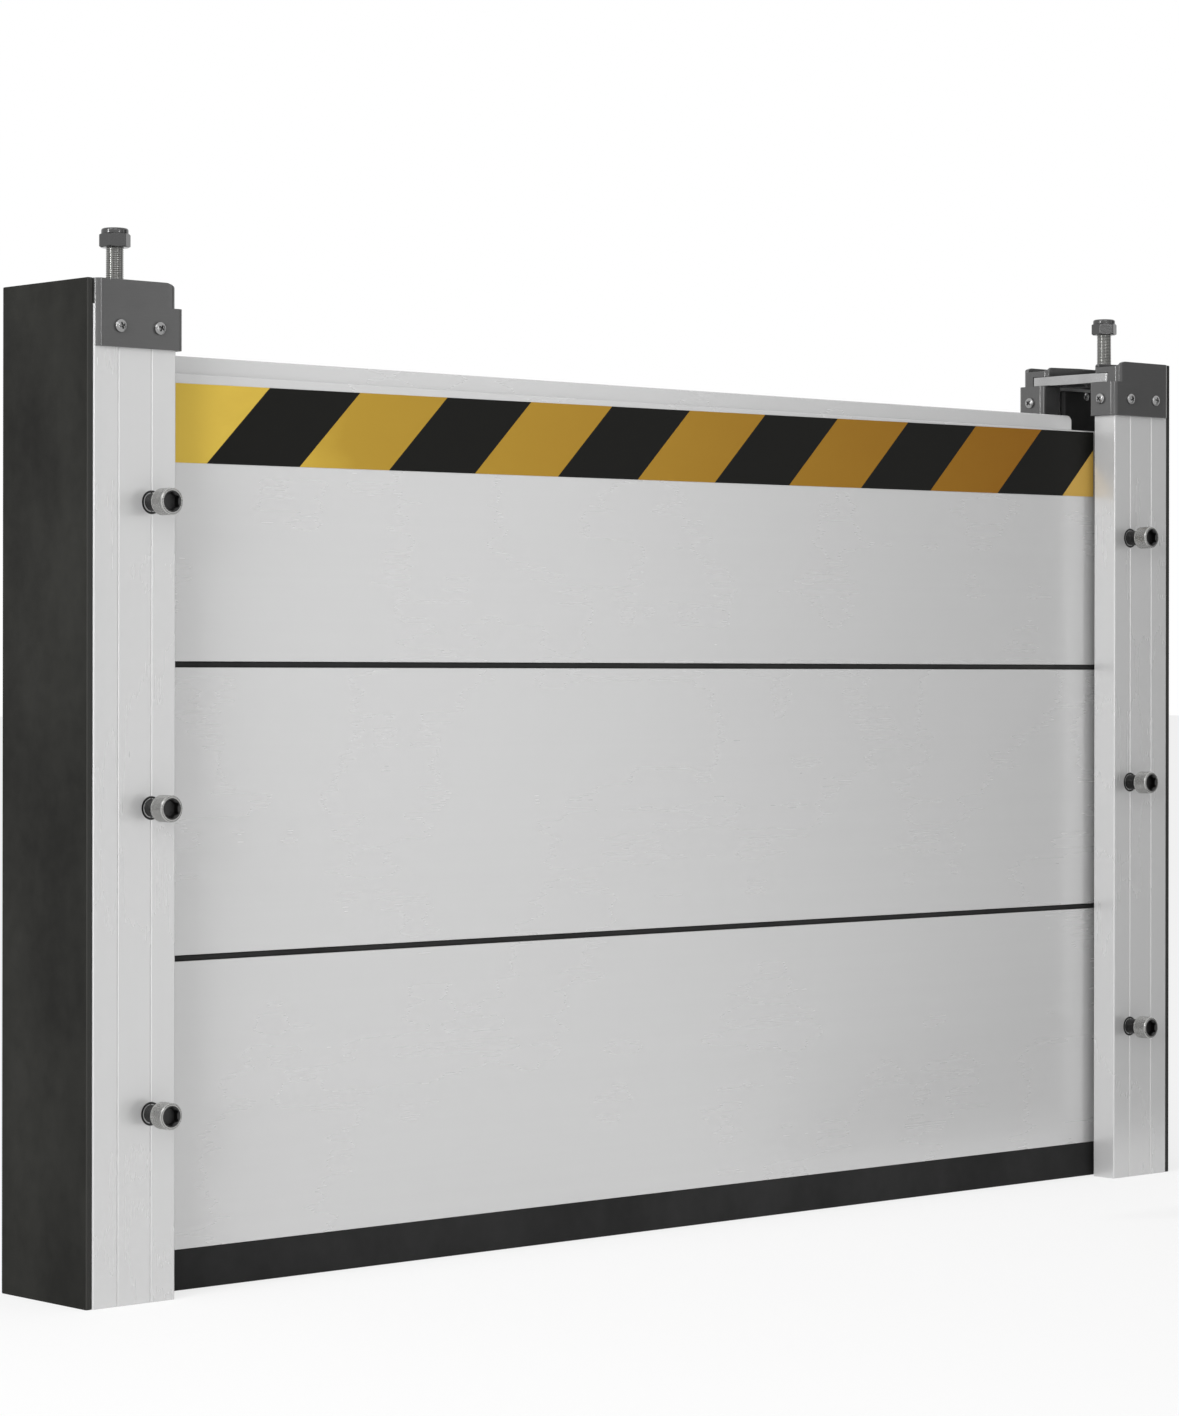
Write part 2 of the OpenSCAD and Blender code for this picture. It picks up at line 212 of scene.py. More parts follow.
def arcs(corners: Any, radii: Any, steps: int, closed: bool) -> np.ndarray:
    """A line through corners with an arc at each.

    With unit ways a and b from a corner to its neighbours and half the angle
    between them h, the arc's centre lies r / sin h along a + b, and its points
    blend the two spokes that end r / tan h along a and along b.

    Args:
        corners: One row of x, y for each corner.
        radii: One radius for all corners, or one for each.
        steps: Points on each arc.
        closed: Whether the line returns to its first corner.

    Returns:
        The points of the line, with no two alike.
    """
    corners = np.asarray(corners, float)
    inner = corners if closed else corners[1:-1]
    before = np.roll(corners, 1, 0) if closed else corners[:-2]
    after = np.roll(corners, -1, 0) if closed else corners[2:]
    radius = np.broadcast_to(np.asarray(radii, float), len(inner))[:, None]
    back, ahead = unit(before - inner), unit(after - inner)
    half = np.arccos(np.clip((back * ahead).sum(1), -1, 1))[:, None] / 2
    centre = inner + unit(back + ahead) * radius / np.sin(half)
    first = inner + back * radius / np.tan(half) - centre
    last = inner + ahead * radius / np.tan(half) - centre
    turn = math.pi - 2 * half
    t = np.linspace(0, 1, steps)
    first_share = (np.sin((1 - t) * turn) / np.sin(turn))[..., None]
    last_share = (np.sin(t * turn) / np.sin(turn))[..., None]
    line = (centre[:, None] + first_share * first[:, None] + last_share * last[:, None]).reshape(-1, 2)
    if not closed:
        line = np.concatenate([corners[:1], line, corners[-1:]])
    return line[np.linalg.norm(line - np.roll(line, 1, 0), axis=1) > SAME_PLACE]


def outline(corners: Any, radii: Any = 0.0, steps: int = 5) -> np.ndarray:
    """Closed outline with rounded corners, see arcs()."""
    return arcs(corners, radii, steps, closed=True)


def rectangle(x0: float, y0: float, x1: float, y1: float, radius: float = 0.0, steps: int = 5) -> np.ndarray:
    """Counter-clockwise rectangle with rounded corners."""
    return outline([(x0, y0), (x1, y0), (x1, y1), (x0, y1)], radius, steps)


def inset(loop: np.ndarray, distances: np.ndarray) -> np.ndarray:
    """Copies of a loop moved to its left by each distance.

    A point moves along the sum of the normals of its two sides, divided by one
    plus their dot product, so that both sides shift by the same distance.

    Args:
        loop: Closed loop of x, y rows, with the material on its left.
        distances: One for each copy.

    Returns:
        Array of copy, point and x, y.
    """
    ahead = unit(np.roll(loop, -1, 0) - loop)
    normal = np.stack([-ahead[:, 1], ahead[:, 0]], 1)
    before = np.roll(normal, 1, 0)
    way = (normal + before) / (1 + (normal * before).sum(1, keepdims=True))
    return loop + distances[:, None, None] * way


def grid_faces(rows: int, columns: int, start: int = 0) -> np.ndarray:
    """Quads of a grid whose columns close on themselves.

    The quad at row i, column j joins j and j + 1 in the rows i and i + 1.

    Args:
        rows: Rows of points.
        columns: Points in each row.
        start: Number of the first point.

    Returns:
        Four point numbers for each quad.
    """
    row, column = np.meshgrid(np.arange(rows - 1), np.arange(columns), indexing="ij")
    here, above, after = row * columns, (row + 1) * columns, (column + 1) % columns
    quads = [here + column, here + after, above + after, above + column]
    return np.stack(quads, -1).reshape(-1, 4) + start


def cap_faces(loops: Sequence[np.ndarray]) -> np.ndarray:
    """Triangles that fill an outline around its holes."""
    return np.array(tessellate_polygon([[Vector((x, y, 0.0)) for x, y in loop] for loop in loops]))


def edge_rounding(radius: float, steps: int) -> tuple[np.ndarray, np.ndarray]:
    """Rises and insets of the rows that round the end of a bar by a quarter circle."""
    angle = np.linspace(0, math.pi / 2, steps)
    return radius * (1 - np.cos(angle)), radius * (1 - np.sin(angle))


def bar(loops: Sequence[np.ndarray], low: float, high: float, edge: float = 0.3 * MM,
        steps: int = 3) -> Surface:
    """A straight bar along Z with a constant section and rounded ends.

    Each row is the section at one height. Near an end, a row at the rise
    edge * (1 - cos a) is moved inwards by edge * (1 - sin a).

    Args:
        loops: The section: its outline counter-clockwise, then any holes clockwise.
        low: Height of the lower end.
        high: Height of the upper end.
        edge: Radius of the ends' edges.
        steps: Rows that round each end.

    Returns:
        A closed surface.
    """
    rise, inwards = edge_rounding(edge, steps)
    heights = np.concatenate([low + rise, high - rise[::-1]])
    shifts = np.concatenate([inwards, inwards[::-1]])
    points, faces, caps, start = [], [], [], 0
    for loop in loops:
        plan = inset(loop, shifts)
        level = np.broadcast_to(heights[:, None, None], (*plan.shape[:2], 1))
        points.append(np.concatenate([plan, level], -1).reshape(-1, 3))
        faces.append(grid_faces(len(heights), len(loop), start))
        caps.append((plan[0], start, start + (len(heights) - 1) * len(loop)))
        start += len(heights) * len(loop)
    triangles = cap_faces([plan for plan, _, _ in caps])
    for end in (1, 2):
        numbers = np.concatenate([cap[end] + np.arange(len(cap[0])) for cap in caps])
        faces.append(numbers[triangles])
    return Surface(np.concatenate(points), faces)


def round_surface(radius: np.ndarray, height: np.ndarray, phase: float = 0.0) -> Surface:
    """A surface around Z, with point j of row i at j / columns of a turn plus the phase.

    Args:
        radius: Radius of each point, by row and column.
        height: Height of each point, or of each row.
        phase: Angle of the first column.

    Returns:
        A surface with open ends.
    """
    columns = radius.shape[1]
    angle = np.arange(columns) * TAU / columns + phase
    height = np.broadcast_to(height, radius.shape)
    points = np.stack([radius * np.cos(angle), radius * np.sin(angle), height], -1).reshape(-1, 3)
    return Surface(points, [grid_faces(radius.shape[0], columns)])


def hexagon(columns: int) -> np.ndarray:
    """Radius of a hexagon with an apothem of 1: 1 / cos of each column's angle from the nearest flat."""
    sixth = TAU / 6
    return 1 / np.cos((np.arange(columns) * TAU / columns + sixth / 2) % sixth - sixth / 2)


def lathe(profile: Sequence[tuple[float, float]], columns: int = 48, phase: float = 0.0) -> Surface:
    """A round piece from a profile of (radius, height) pairs, closed where the radius is 0."""
    rows = np.array(profile, float)
    return round_surface(np.repeat(rows[:, :1], columns, 1), rows[:, 1:], phase)


def thread(diameter: float, pitch: float, low: float, high: float, columns: int = 48,
           per_turn: int = 12) -> Surface:
    """A threaded rod with closed, chamfered ends.

    The radius swings between crest and root with a triangle wave of
    z / pitch - angle / (one turn), clipped to give flat crests and roots, and it
    never exceeds the chamfer's cone at either end. The root lies 0.45 pitch
    below the crest.

    Args:
        diameter: Outer diameter.
        pitch: Rise of one turn.
        low: Height of the lower end.
        high: Height of the upper end.
        columns: Steps around the rod.
        per_turn: Rows on one turn.

    Returns:
        A closed surface.
    """
    crest, deep = diameter / 2, 0.45 * pitch
    height = np.linspace(low, high, int((high - low) / pitch * per_turn) + 2)[:, None]
    turn = np.arange(columns) / columns
    wave = np.abs(((height / pitch - turn) % 1) * 2 - 1)
    flank = np.clip(2 * wave - 0.8, 0, 1)
    chamfer = crest - deep + np.minimum(height - low, high - height)
    radius = np.minimum(crest - deep * flank, chamfer)
    closed = np.zeros((1, columns))
    radius = np.concatenate([closed, radius, closed])
    height = np.concatenate([height[:1], height, height[-1:]])
    return round_surface(radius, height)


def strip(path: np.ndarray, low: np.ndarray, high: np.ndarray, thickness: float,
          edges: tuple[float, float], ends: float) -> Surface:
    """Bent sheet: a thin section carried along a path, between a lower and an upper edge.

    The section is a rounded rectangle that stands on the path, with u across the
    sheet and v up. Point k of the section at path row i lies at
    path + u * (the path's left normal), and at the height low or high plus v.

    Args:
        path: Middle line of the sheet in plan, as x, y rows.
        low: Height of the lower edge at each path row.
        high: Height of the upper edge at each path row.
        thickness: Sheet thickness.
        edges: Radii of the lower and of the upper edges.
        ends: Radius of the edges at the path's two ends.

    Returns:
        A closed surface.
    """
    run = np.concatenate([[0], np.cumsum(np.linalg.norm(np.diff(path, axis=0), axis=1))])
    rise, inwards = edge_rounding(ends, steps=4)
    clear = ends * 1.05  # Keeps the rows of the path off the last rows of the rounding.
    middle = run[(run > clear) & (run < run[-1] - clear)]
    rows = np.concatenate([rise, middle, run[-1] - rise[::-1]])
    shrink = np.concatenate([inwards, np.zeros(len(middle)), inwards[::-1]])[:, None]
    at = np.stack([np.interp(rows, run, path[:, k]) for k in (0, 1)], 1)
    ahead = unit(np.diff(path, axis=0))
    before, after = np.vstack([ahead[:1], ahead]), np.vstack([ahead, ahead[-1:]])
    normal = np.stack([-(before + after)[:, 1], (before + after)[:, 0]], 1)
    normal /= 1 + (before * after).sum(1, keepdims=True)
    normal_at = np.stack([np.interp(rows, run, normal[:, k]) for k in (0, 1)], 1)
    half = thickness / 2
    corners = [(-half, 0), (half, 0), (half, 1), (-half, 1)]
    section = outline(corners, [edges[0], edges[0], edges[1], edges[1]], steps=4)
    u, upper = section[:, 0], section[:, 1] > 0.5
    v = np.where(upper, section[:, 1] - 1, section[:, 1])
    across = np.sign(u) * np.maximum(np.abs(u) - shrink, 0)
    level = np.where(upper, np.interp(rows, run, high)[:, None] + v - shrink,
                     np.interp(rows, run, low)[:, None] + v + shrink)
    plan = at[:, None] + across[..., None] * normal_at[:, None]
    points = np.concatenate([plan, level[..., None]], -1)
    count, around = points.shape[:2]
    triangles = cap_faces([section])
    faces = [grid_faces(count, around), triangles, triangles + (count - 1) * around]
    return Surface(points.reshape(-1, 3), faces)


def dress(surface: Surface, name: str, finish: "Finish", nodes: Sequence[str] = (),
          body: str = ROOT_BODY, sharp: float = SHARP) -> None:
    """Makes a surface a piece of the object.

    Args:
        surface: What to build, in the shared frame.
        name: Name of the piece.
        finish: Its material.
        nodes: CAD nodes that it replaces.
        body: CAD body that it rides on.
        sharp: Edges that turn by more degrees than this stay sharp.
    """
    piece = surface.build(name, finish, sharp)
    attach(piece, body)
    if nodes:
        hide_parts(*nodes)
    log.info("%-32s %6d faces, %s", name, len(piece.data.polygons), finish.name)


# ---- node trees


def operator(operation: str, swapped: bool = False) -> Callable[["Signal", Any], "Signal"]:
    """Makes an operator of Signal.

    Args:
        operation: Operation of the Math node that it adds.
        swapped: Whether the signal stands on the right.

    Returns:
        The method.
    """
    def method(self: "Signal", other: Any) -> "Signal":
        """The result of one Math node."""
        first, second = (other, self) if swapped else (self, other)
        return self.tree.add("ShaderNodeMath", {"operation": operation}, {0: first, 1: second})

    return method


class Signal:
    """A node's output socket that adds Math nodes when it is used in an expression."""

    def __init__(self, tree: "Tree", socket: bpy.types.NodeSocket | None) -> None:
        """Wraps one socket of a tree."""
        self.tree, self.socket = tree, socket

    __add__, __radd__ = operator("ADD"), operator("ADD", swapped=True)
    __sub__, __rsub__ = operator("SUBTRACT"), operator("SUBTRACT", swapped=True)
    __mul__, __truediv__ = operator("MULTIPLY"), operator("DIVIDE")
    __mod__ = operator("FLOORED_MODULO")
    __gt__ = operator("GREATER_THAN")

    def swing(self, amount: float) -> "Signal":
        """This noise as a change around 0, with the amount from its lowest to its highest."""
        return (self - 0.5) * amount


class Tree:
    """The node tree of one material or world, which gets every node through add()."""

    def __init__(self, nodes: bpy.types.NodeTree) -> None:
        """Clears a node tree and starts it anew."""
        self.nodes = nodes
        nodes.nodes.clear()

    def add(self, kind: str, settings: dict[str, Any] | None = None, inputs: dict[Any, Any] | None = None,
            output: int | str = 0) -> Signal:
        """Adds a node.

        Args:
            kind: The node's type.
            settings: Its properties, such as a Math node's operation. The key
                "stops" holds a colour ramp's (position, colour) pairs.
            inputs: A value or a Signal for each socket, by number, identifier or name.
            output: Number or name of the socket that is returned.

        Returns:
            The chosen output.
        """
        node = self.nodes.nodes.new(kind)
        for name, value in (settings or {}).items():
            if name == "stops":
                self._set_stops(node.color_ramp, value)
            else:
                setattr(node, name, value)
        for key, value in (inputs or {}).items():
            socket = self._socket(node.inputs, key)
            if isinstance(value, Signal):
                self.nodes.links.new(value.socket, socket)
            else:
                socket.default_value = value
        return Signal(self, self._socket(node.outputs, output) if len(node.outputs) else None)

    @staticmethod
    def _socket(sockets: Any, key: int | str) -> bpy.types.NodeSocket:
        """The socket with this number, identifier or name."""
        named = [socket for socket in sockets if socket.identifier == key]
        return named[0] if named else sockets[key]

    @staticmethod
    def _set_stops(ramp: bpy.types.ColorRamp, stops: Sequence[tuple[float, Any]]) -> None:
        """Gives a colour ramp its stops."""
        while len(ramp.elements) < len(stops):
            ramp.elements.new(0.5)
        for element, (position, colour) in zip(ramp.elements, stops):
            element.position = position
            element.color = (*(colour if isinstance(colour, tuple) else [colour] * 3), 1.0)

    def place(self, scale: tuple[float, float, float] = (1, 1, 1)) -> Signal:
        """Object coordinates, stretched."""
        here = self.add("ShaderNodeTexCoord", output="Object")
        return self.add("ShaderNodeMapping", {}, {"Vector": here, "Scale": scale})

    def axis(self, name: str) -> Signal:
        """The object coordinate called X, Y or Z."""
        return self.add("ShaderNodeSeparateXYZ", {}, {0: self.place()}, output=name)

    def noise(self, where: Signal, scale: float, detail: float = 2.0, rough: float = 0.5) -> Signal:
        """Smooth noise between 0 and 1 over a place."""
        values = {"Vector": where, "Scale": scale, "Detail": detail, "Roughness": rough}
        return self.add("ShaderNodeTexNoise", {}, values)

    def blend(self, first: Any, second: Any, share: Any) -> Signal:
        """A mix of two colours: first * (1 - share) + second * share.

        Args:
            first: Colour at a share of 0.
            second: Colour at a share of 1.
            share: How much of the second there is.

        Returns:
            The mixed colour.
        """
        first = (*first, 1.0) if isinstance(first, tuple) else first
        second = (*second, 1.0) if isinstance(second, tuple) else second
        inputs = {"Factor_Float": share, "A_Color": first, "B_Color": second}
        return self.add("ShaderNodeMix", {"data_type": "RGBA"}, inputs, output="Result_Color")

    def around(self, colour: Colour, contrast: float, tone: Signal) -> Signal:
        """A colour, darker by the contrast where the tone is 0 and lighter by it where the tone is 1."""
        ends = [tuple(factor * part for part in colour) for factor in (1 - contrast, 1 + contrast)]
        return self.blend(*ends, tone)

    def ramp(self, value: Signal, *stops: tuple[float, Any]) -> Signal:
        """A number turned into a colour by (position, colour) stops."""
        return self.add("ShaderNodeValToRGB", {"stops": stops}, {0: value})

    def bump(self, height: Signal, distance: float) -> Signal:
        """A surface normal tilted by a height in shares of distance."""
        return self.add("ShaderNodeBump", {}, {"Height": height, "Distance": distance, "Strength": 1.0})

    def glow(self, colour: Any, strength: float) -> Signal:
        """A shader that gives off light."""
        return self.add("ShaderNodeEmission", {}, {"Color": colour, "Strength": strength})

    def end(self, shader: Signal) -> None:
        """Ends the material in a shader."""
        self.add("ShaderNodeOutputMaterial", {}, {"Surface": shader})

    def finish(self, **sockets: Any) -> None:
        """Ends the material in one Principled shader.

        Args:
            sockets: Values or Signals, by socket name with _ for a space.
        """
        inputs = {name.replace("_", " "): value for name, value in sockets.items()}
        self.end(self.add("ShaderNodeBsdfPrincipled", {}, inputs))


# ---- finishes


class Run(Enum):
    """Which way the marks of drawing or brushing run, as a stretch of the place."""

    ALONG_X = (0.001, 1.0, 1.0)
    ALONG_Z = (1.0, 1.0, 0.001)


@dataclass(frozen=True)
class Finish:
    """A named procedural material."""

    name: str

    def material(self) -> bpy.types.Material:
        """Makes the material at its first use.

        Returns:
            The material.
        """
        found = bpy.data.materials.get(self.name)
        if found is None:
            found = bpy.data.materials.new(self.name)
            found.use_nodes = True
            self.paint(Tree(found.node_tree))
        return found

    def paint(self, tree: Tree) -> None:
        """Fills the material's node tree."""
        raise NotImplementedError


@dataclass(frozen=True)
class DrawnAluminium(Finish):
    """Extruded aluminium with faint die lines along its length and a soft haze."""

    run: Run = Run.ALONG_Z
    colour: Colour = (0.62, 0.62, 0.62)
    contrast: float = 0.03  # How much lines and haze lighten and darken the colour.
    rough: float = 0.27
    metallic: float = 0.38  # Share of bare metal; the rest is a dull oxide skin.
    relief: float = 0.001 * MM  # Depth of the broad lines.

    def paint(self, tree: Tree) -> None:
        """Fine lines, broad lines and a haze change the colour; the last two change the roughness too.

        Args:
            tree: The material's node tree.
        """
        stretched = tree.place(self.run.value)
        fine = tree.noise(stretched, scale=350, detail=1)
        broad = tree.noise(stretched, scale=110, detail=3, rough=0.6)
        haze = tree.noise(tree.place(), scale=7, detail=3)
        tree.finish(
            Base_Color=tree.around(self.colour, self.contrast, broad * 0.6 + fine * 0.1 + haze * 0.3),
            Metallic=self.metallic,
            Roughness=self.rough + broad.swing(0.02) + haze.swing(0.06),
            Normal=tree.bump(broad, self.relief),
        )


@dataclass(frozen=True)
class BrushedSteel(Finish):
    """Steel with short brush marks."""

    colour: Colour = (0.5, 0.5, 0.5)
    rough: float = 0.25
    run: Run = Run.ALONG_X
    grain: float = 0.004 * MM  # Depth of the marks.
    metallic: float = 1.0  # Share of bare metal; the rest is a dull oxide skin.
    contrast: float = 0.15  # How much marks and clouds lighten and darken the colour.
    stretch: float = 0.03  # Least scale of the place along the marks, which sets their length.

    def paint(self, tree: Tree) -> None:
        """Marks change colour, roughness and height; clouds stand for handling.

        Args:
            tree: The material's node tree.
        """
        stretched = tree.place(tuple(max(part, self.stretch) for part in self.run.value))
        marks = tree.noise(stretched, scale=2600, detail=2)
        clouds = tree.noise(tree.place(), scale=45, detail=3)
        tree.finish(
            Base_Color=tree.around(self.colour, self.contrast, marks * 0.6 + clouds * 0.4),
            Metallic=self.metallic,
            Roughness=self.rough + marks.swing(0.12) + clouds.swing(0.14),
            Normal=tree.bump(marks, self.grain),
        )


@dataclass(frozen=True)
class Rubber(Finish):
    """Matt rubber with a mottled bloom and a fine moulded grain."""

    dark: Colour = (0.021, 0.021, 0.020)
    bloom: Colour = (0.036, 0.036, 0.034)
    # Colour of the front face: a painted highlight where its edge catches the light.
    painted_front_highlight: Colour = (0.03, 0.03, 0.028)
    painted_front_highlight_y: float = -1.0  # Below this y the front face takes the painted highlight.
    rough: float = 0.75
    specular: float = 0.12
    relief: float = 0.06 * MM  # Depth of the grain.

    def paint(self, tree: Tree) -> None:
        """Clouds and spots mix dark and bloom; the front face gets a lighter colour as a painted highlight;
        noise gives the grain.

        Args:
            tree: The material's node tree.
        """
        clouds = tree.noise(tree.place((1.0, 1.0, 0.6)), scale=14, detail=4, rough=0.6)
        spots = tree.noise(tree.place(), scale=90, detail=3)
        grain = tree.noise(tree.place(), scale=1500, detail=2)
        share = tree.ramp(clouds * 0.75 + spots * 0.25, (0.36, 0.0), (0.66, 1.0))
        skin = tree.blend(self.dark, self.bloom, share)
        tree.finish(
            Base_Color=tree.blend(self.painted_front_highlight, skin, tree.axis("Y") > self.painted_front_highlight_y),
            Roughness=self.rough - clouds.swing(0.3),
            Specular_IOR_Level=self.specular,
            Normal=tree.bump(grain + spots * 2, self.relief),
        )


@dataclass(frozen=True)
class Plastic(Finish):
    """Moulded black plastic with a fine texture."""

    colour: Colour = (0.03, 0.03, 0.031)
    light: Colour = (0.045, 0.045, 0.0465)  # On the tops of the texture.
    rough: float = 0.45
    relief: float = 0.03 * MM

    def paint(self, tree: Tree) -> None:
        """A grain of fine noise lightens, roughens and raises the surface."""
        grain = tree.noise(tree.place(), scale=900, detail=3)
        tree.finish(
            Base_Color=tree.blend(self.colour, self.light, grain),
            Roughness=self.rough + grain * 0.15,
            Normal=tree.bump(grain, self.relief),
        )


@dataclass(frozen=True)
class HazardTape(Finish):
    """Printed tape whose stripes lean at 45 degrees."""

    stripe: float = 80 * MM  # Width of a stripe along the tape.
    start: float = -1.0  # Where x - z begins a black stripe.
    # The yellow darkens towards the right end as painted shade; its last stop is lighter as a painted
    # reflection of the post's side.
    yellows_with_painted_light: tuple[tuple[float, Colour], ...] = (  # Each at a share of the length from the left end.
        (0.07, (0.70, 0.49, 0.078)), (0.18, (0.43, 0.27, 0.036)), (0.42, (0.385, 0.22, 0.028)),
        (0.93, (0.25, 0.107, 0.010)), (0.975, (0.52, 0.33, 0.075)))
    black: Colour = (0.010, 0.010, 0.009)
    ends: tuple[float, float] = (-0.49, 0.49)  # X of the tape's two ends.
    rough: float = 0.42
    specular: float = 0.08
    relief: float = 0.02 * MM

    def paint(self, tree: Tree) -> None:
        """Black where (x - z - start) / stripe has an even whole part, and otherwise a yellow that is darker
        towards the right end as painted shade and lighter just before that end as a painted reflection.

        Args:
            tree: The material's node tree.
        """
        x, z = tree.axis("X"), tree.axis("Z")
        yellow_part = ((x - z - self.start) / self.stripe) % 2.0 > 1.0
        along = (x - self.ends[0]) / (self.ends[1] - self.ends[0])
        film = tree.noise(tree.place(), scale=260, detail=3)
        wear = tree.noise(tree.place((0.4, 1.0, 1.0)), scale=30, detail=4)
        # The ramp paints shade darker towards the right and a reflection near the right end.
        yellow = tree.ramp(along + wear.swing(0.08), *self.yellows_with_painted_light)
        tree.finish(
            Base_Color=tree.blend(self.black, yellow, yellow_part),
            Roughness=self.rough + film.swing(0.12) + wear.swing(0.10),
            Specular_IOR_Level=self.specular,
            Normal=tree.bump(film, self.relief),
        )


POST_METAL = DrawnAluminium("Drawn_Aluminium_Upright", colour=(0.60, 0.60, 0.60))
BOARD_METAL = DrawnAluminium("Drawn_Aluminium_Lengthwise", run=Run.ALONG_X)
BRACKET_STEEL = BrushedSteel("Dark_Stainless_Sheet", colour=(0.11, 0.11, 0.11), rough=0.15,
                             grain=0.0004 * MM, metallic=0.6)
PLATE_STEEL = BrushedSteel("Bright_Flat_Bar", colour=(0.42, 0.42, 0.42), rough=0.24,
                           grain=0.012 * MM, contrast=0.5)
BOLT_STEEL = BrushedSteel("Bright_Threaded_Steel", colour=(0.30, 0.30, 0.29), rough=0.18, grain=0.0003 * MM)
# The nut's dark colour is a painted dark reflection on chrome-like steel.
NUT_STEEL = BrushedSteel("Nut_Steel_Painted_Dark_Reflection", colour=(0.10, 0.10, 0.10), rough=0.16, grain=0.0003 * MM)
HEAD_STEEL = BrushedSteel("Zinc_Plated_Screw", colour=(0.42, 0.42, 0.41), rough=0.26)
# Dark steel: plain for the inserts; on the clamp screws it paints a dark reflection on the shank and the
# rim's bevel, and shade in the socket.
INSERT_STEEL = BrushedSteel("Dark_Steel_And_Painted_Shade", colour=(0.05, 0.05, 0.05), rough=0.35)
PAN_STEEL = BrushedSteel("Stainless_Sheet_Screw", colour=(0.32, 0.32, 0.32), rough=0.22)
# The pad's front face is painted lighter below this y as a highlight.
PAD_RUBBER = Rubber("Wall_Pad_Rubber", dark=(0.010, 0.010, 0.009), bloom=(0.018, 0.018, 0.016),
                    painted_front_highlight=(0.034, 0.034, 0.032), painted_front_highlight_y=-48.9 * MM)
SEAL_RUBBER = Rubber("Seal_Rubber", dark=(0.018, 0.018, 0.018), bloom=(0.026, 0.026, 0.026))
CAP_PLASTIC = Plastic("End_Cap_Plastic")


# ---- posts and what is fixed to them


@dataclass(frozen=True)
class PostPart:
    """A part of one side, which knows the sizes of that side's post, a U-channel.

    It is made in the post's own frame, with x = 0 on the post's outer side and +x
    towards the bay.
    """

    side: Side
    web: float = 5 * MM
    arm: float = 22 * MM

    def node(self, name: str) -> str:
        """Name of this side's CAD node."""
        return f"{self.side.value}_{name}"

    def own_box(self, name: str) -> tuple[np.ndarray, np.ndarray]:
        """Corners of a node in the post's own frame: (x - outer side) * inwards, with y and z kept.

        Args:
            name: Name of the node, without the side.

        Returns:
            Its lowest and its highest corner.
        """
        corners = np.array(node_box(self.node(name)))
        corners[:, 0] = np.sort((corners[:, 0] - self.side.outer_x) * self.side.inwards)
        return corners[0], corners[1]

    @property
    def width(self) -> float:
        """Width of the post along the barrier."""
        return float(self.own_box("post")[1][0])

    @property
    def half_depth(self) -> float:
        """Half the depth of the post."""
        return float(self.own_box("post")[1][1])

    @property
    def height(self) -> float:
        """Height of the post."""
        return float(self.own_box("post")[1][2])

    @property
    def half_gap(self) -> float:
        """Half the width of the channel."""
        return self.half_depth - self.arm

    def block(self, node: str, rounding: float, edge: float = 0.8 * MM, steps: int = 4,
              holes: Sequence[np.ndarray] = ()) -> Surface:
        """An upright block that fills a node's box.

        Args:
            node: Name of the node, without the side.
            rounding: Radius of its four upright edges.
            edge: Radius of its other edges.
            steps: Rows that round each end.
            holes: Clockwise outlines of holes through it.

        Returns:
            A closed surface.
        """
        low, high = self.own_box(node)
        plan = rectangle(low[0], low[1], high[0], high[1], rounding, steps=6)
        return bar([plan, *holes], low[2], high[2], edge, steps)

    def piece(self, surface: Surface, name: str, finish: Finish, slot: str, nodes: Sequence[str] = (),
              body: str | None = None, sharp: float = SHARP) -> None:
        """Makes a surface in the post's own frame a piece of this side, see dress().

        Args:
            surface: What to build.
            name: Name of the piece, without the side.
            finish: Its material.
            slot: The record's material slot; not used.
            nodes: Nodes that it replaces, without the side.
            body: Its CAD body without the side, or none for the root body.
            sharp: Edges that turn by more degrees than this stay sharp.
        """
        rides_on = self.node(body) if body else ROOT_BODY
        replaced = [self.node(node) for node in nodes]
        label = f"{self.side.name.title()}_{name}"
        dress(surface.on_side(self.side), label, finish, replaced, rides_on, sharp)


@dataclass(frozen=True)
class Post(PostPart):
    """An extruded U-channel with two hollow arms and V-shaped drill grooves."""

    wall: float = 3 * MM
    corner: float = 1 * MM
    lip: float = 0.4 * MM
    root: float = 0.5 * MM
    groove_inset: float = 20 * MM
    groove_half: float = 0.7 * MM

    def section(self) -> list[np.ndarray]:
        """Plan of the post, whose rear half is its front half mirrored.

        Returns:
            Its outline and the two hollows in its arms.
        """
        width, deep, gap, web = self.width, self.half_depth, self.half_gap, self.web
        notch = [(-self.groove_half, -deep), (0, -deep + self.groove_half), (self.groove_half, -deep)]
        grooves = [(x + dx, y) for x in (self.groove_inset, width - self.groove_inset) for dx, y in notch]
        front = np.array([(0, -deep), *grooves, (width, -deep), (width, -gap), (web, -gap)])
        radii = [self.corner, *[0.0] * len(grooves), self.corner, self.lip, self.root]
        around = outline(np.concatenate([front, front[::-1] * (1, -1)]), [*radii, *radii[::-1]])
        hollow = rectangle(web, gap + self.wall, width - self.wall, deep - self.wall, self.corner)
        return [around, hollow[::-1], hollow * (1, -1)]

    def make(self) -> None:
        """Builds the post."""
        surface = bar(self.section(), 0, self.height)
        self.piece(surface, "Post", POST_METAL, "extruded_aluminium", ["post"], sharp=30)


@dataclass(frozen=True)
class WallPad(PostPart):
    """The flat rubber pad between post and wall."""

    rounding: float = 1.3 * MM

    def make(self) -> None:
        """Builds the pad."""
        surface = self.block("wall_pad", self.rounding)
        self.piece(surface, "Wall_Pad", PAD_RUBBER, "black_rubber", ["wall_pad"])


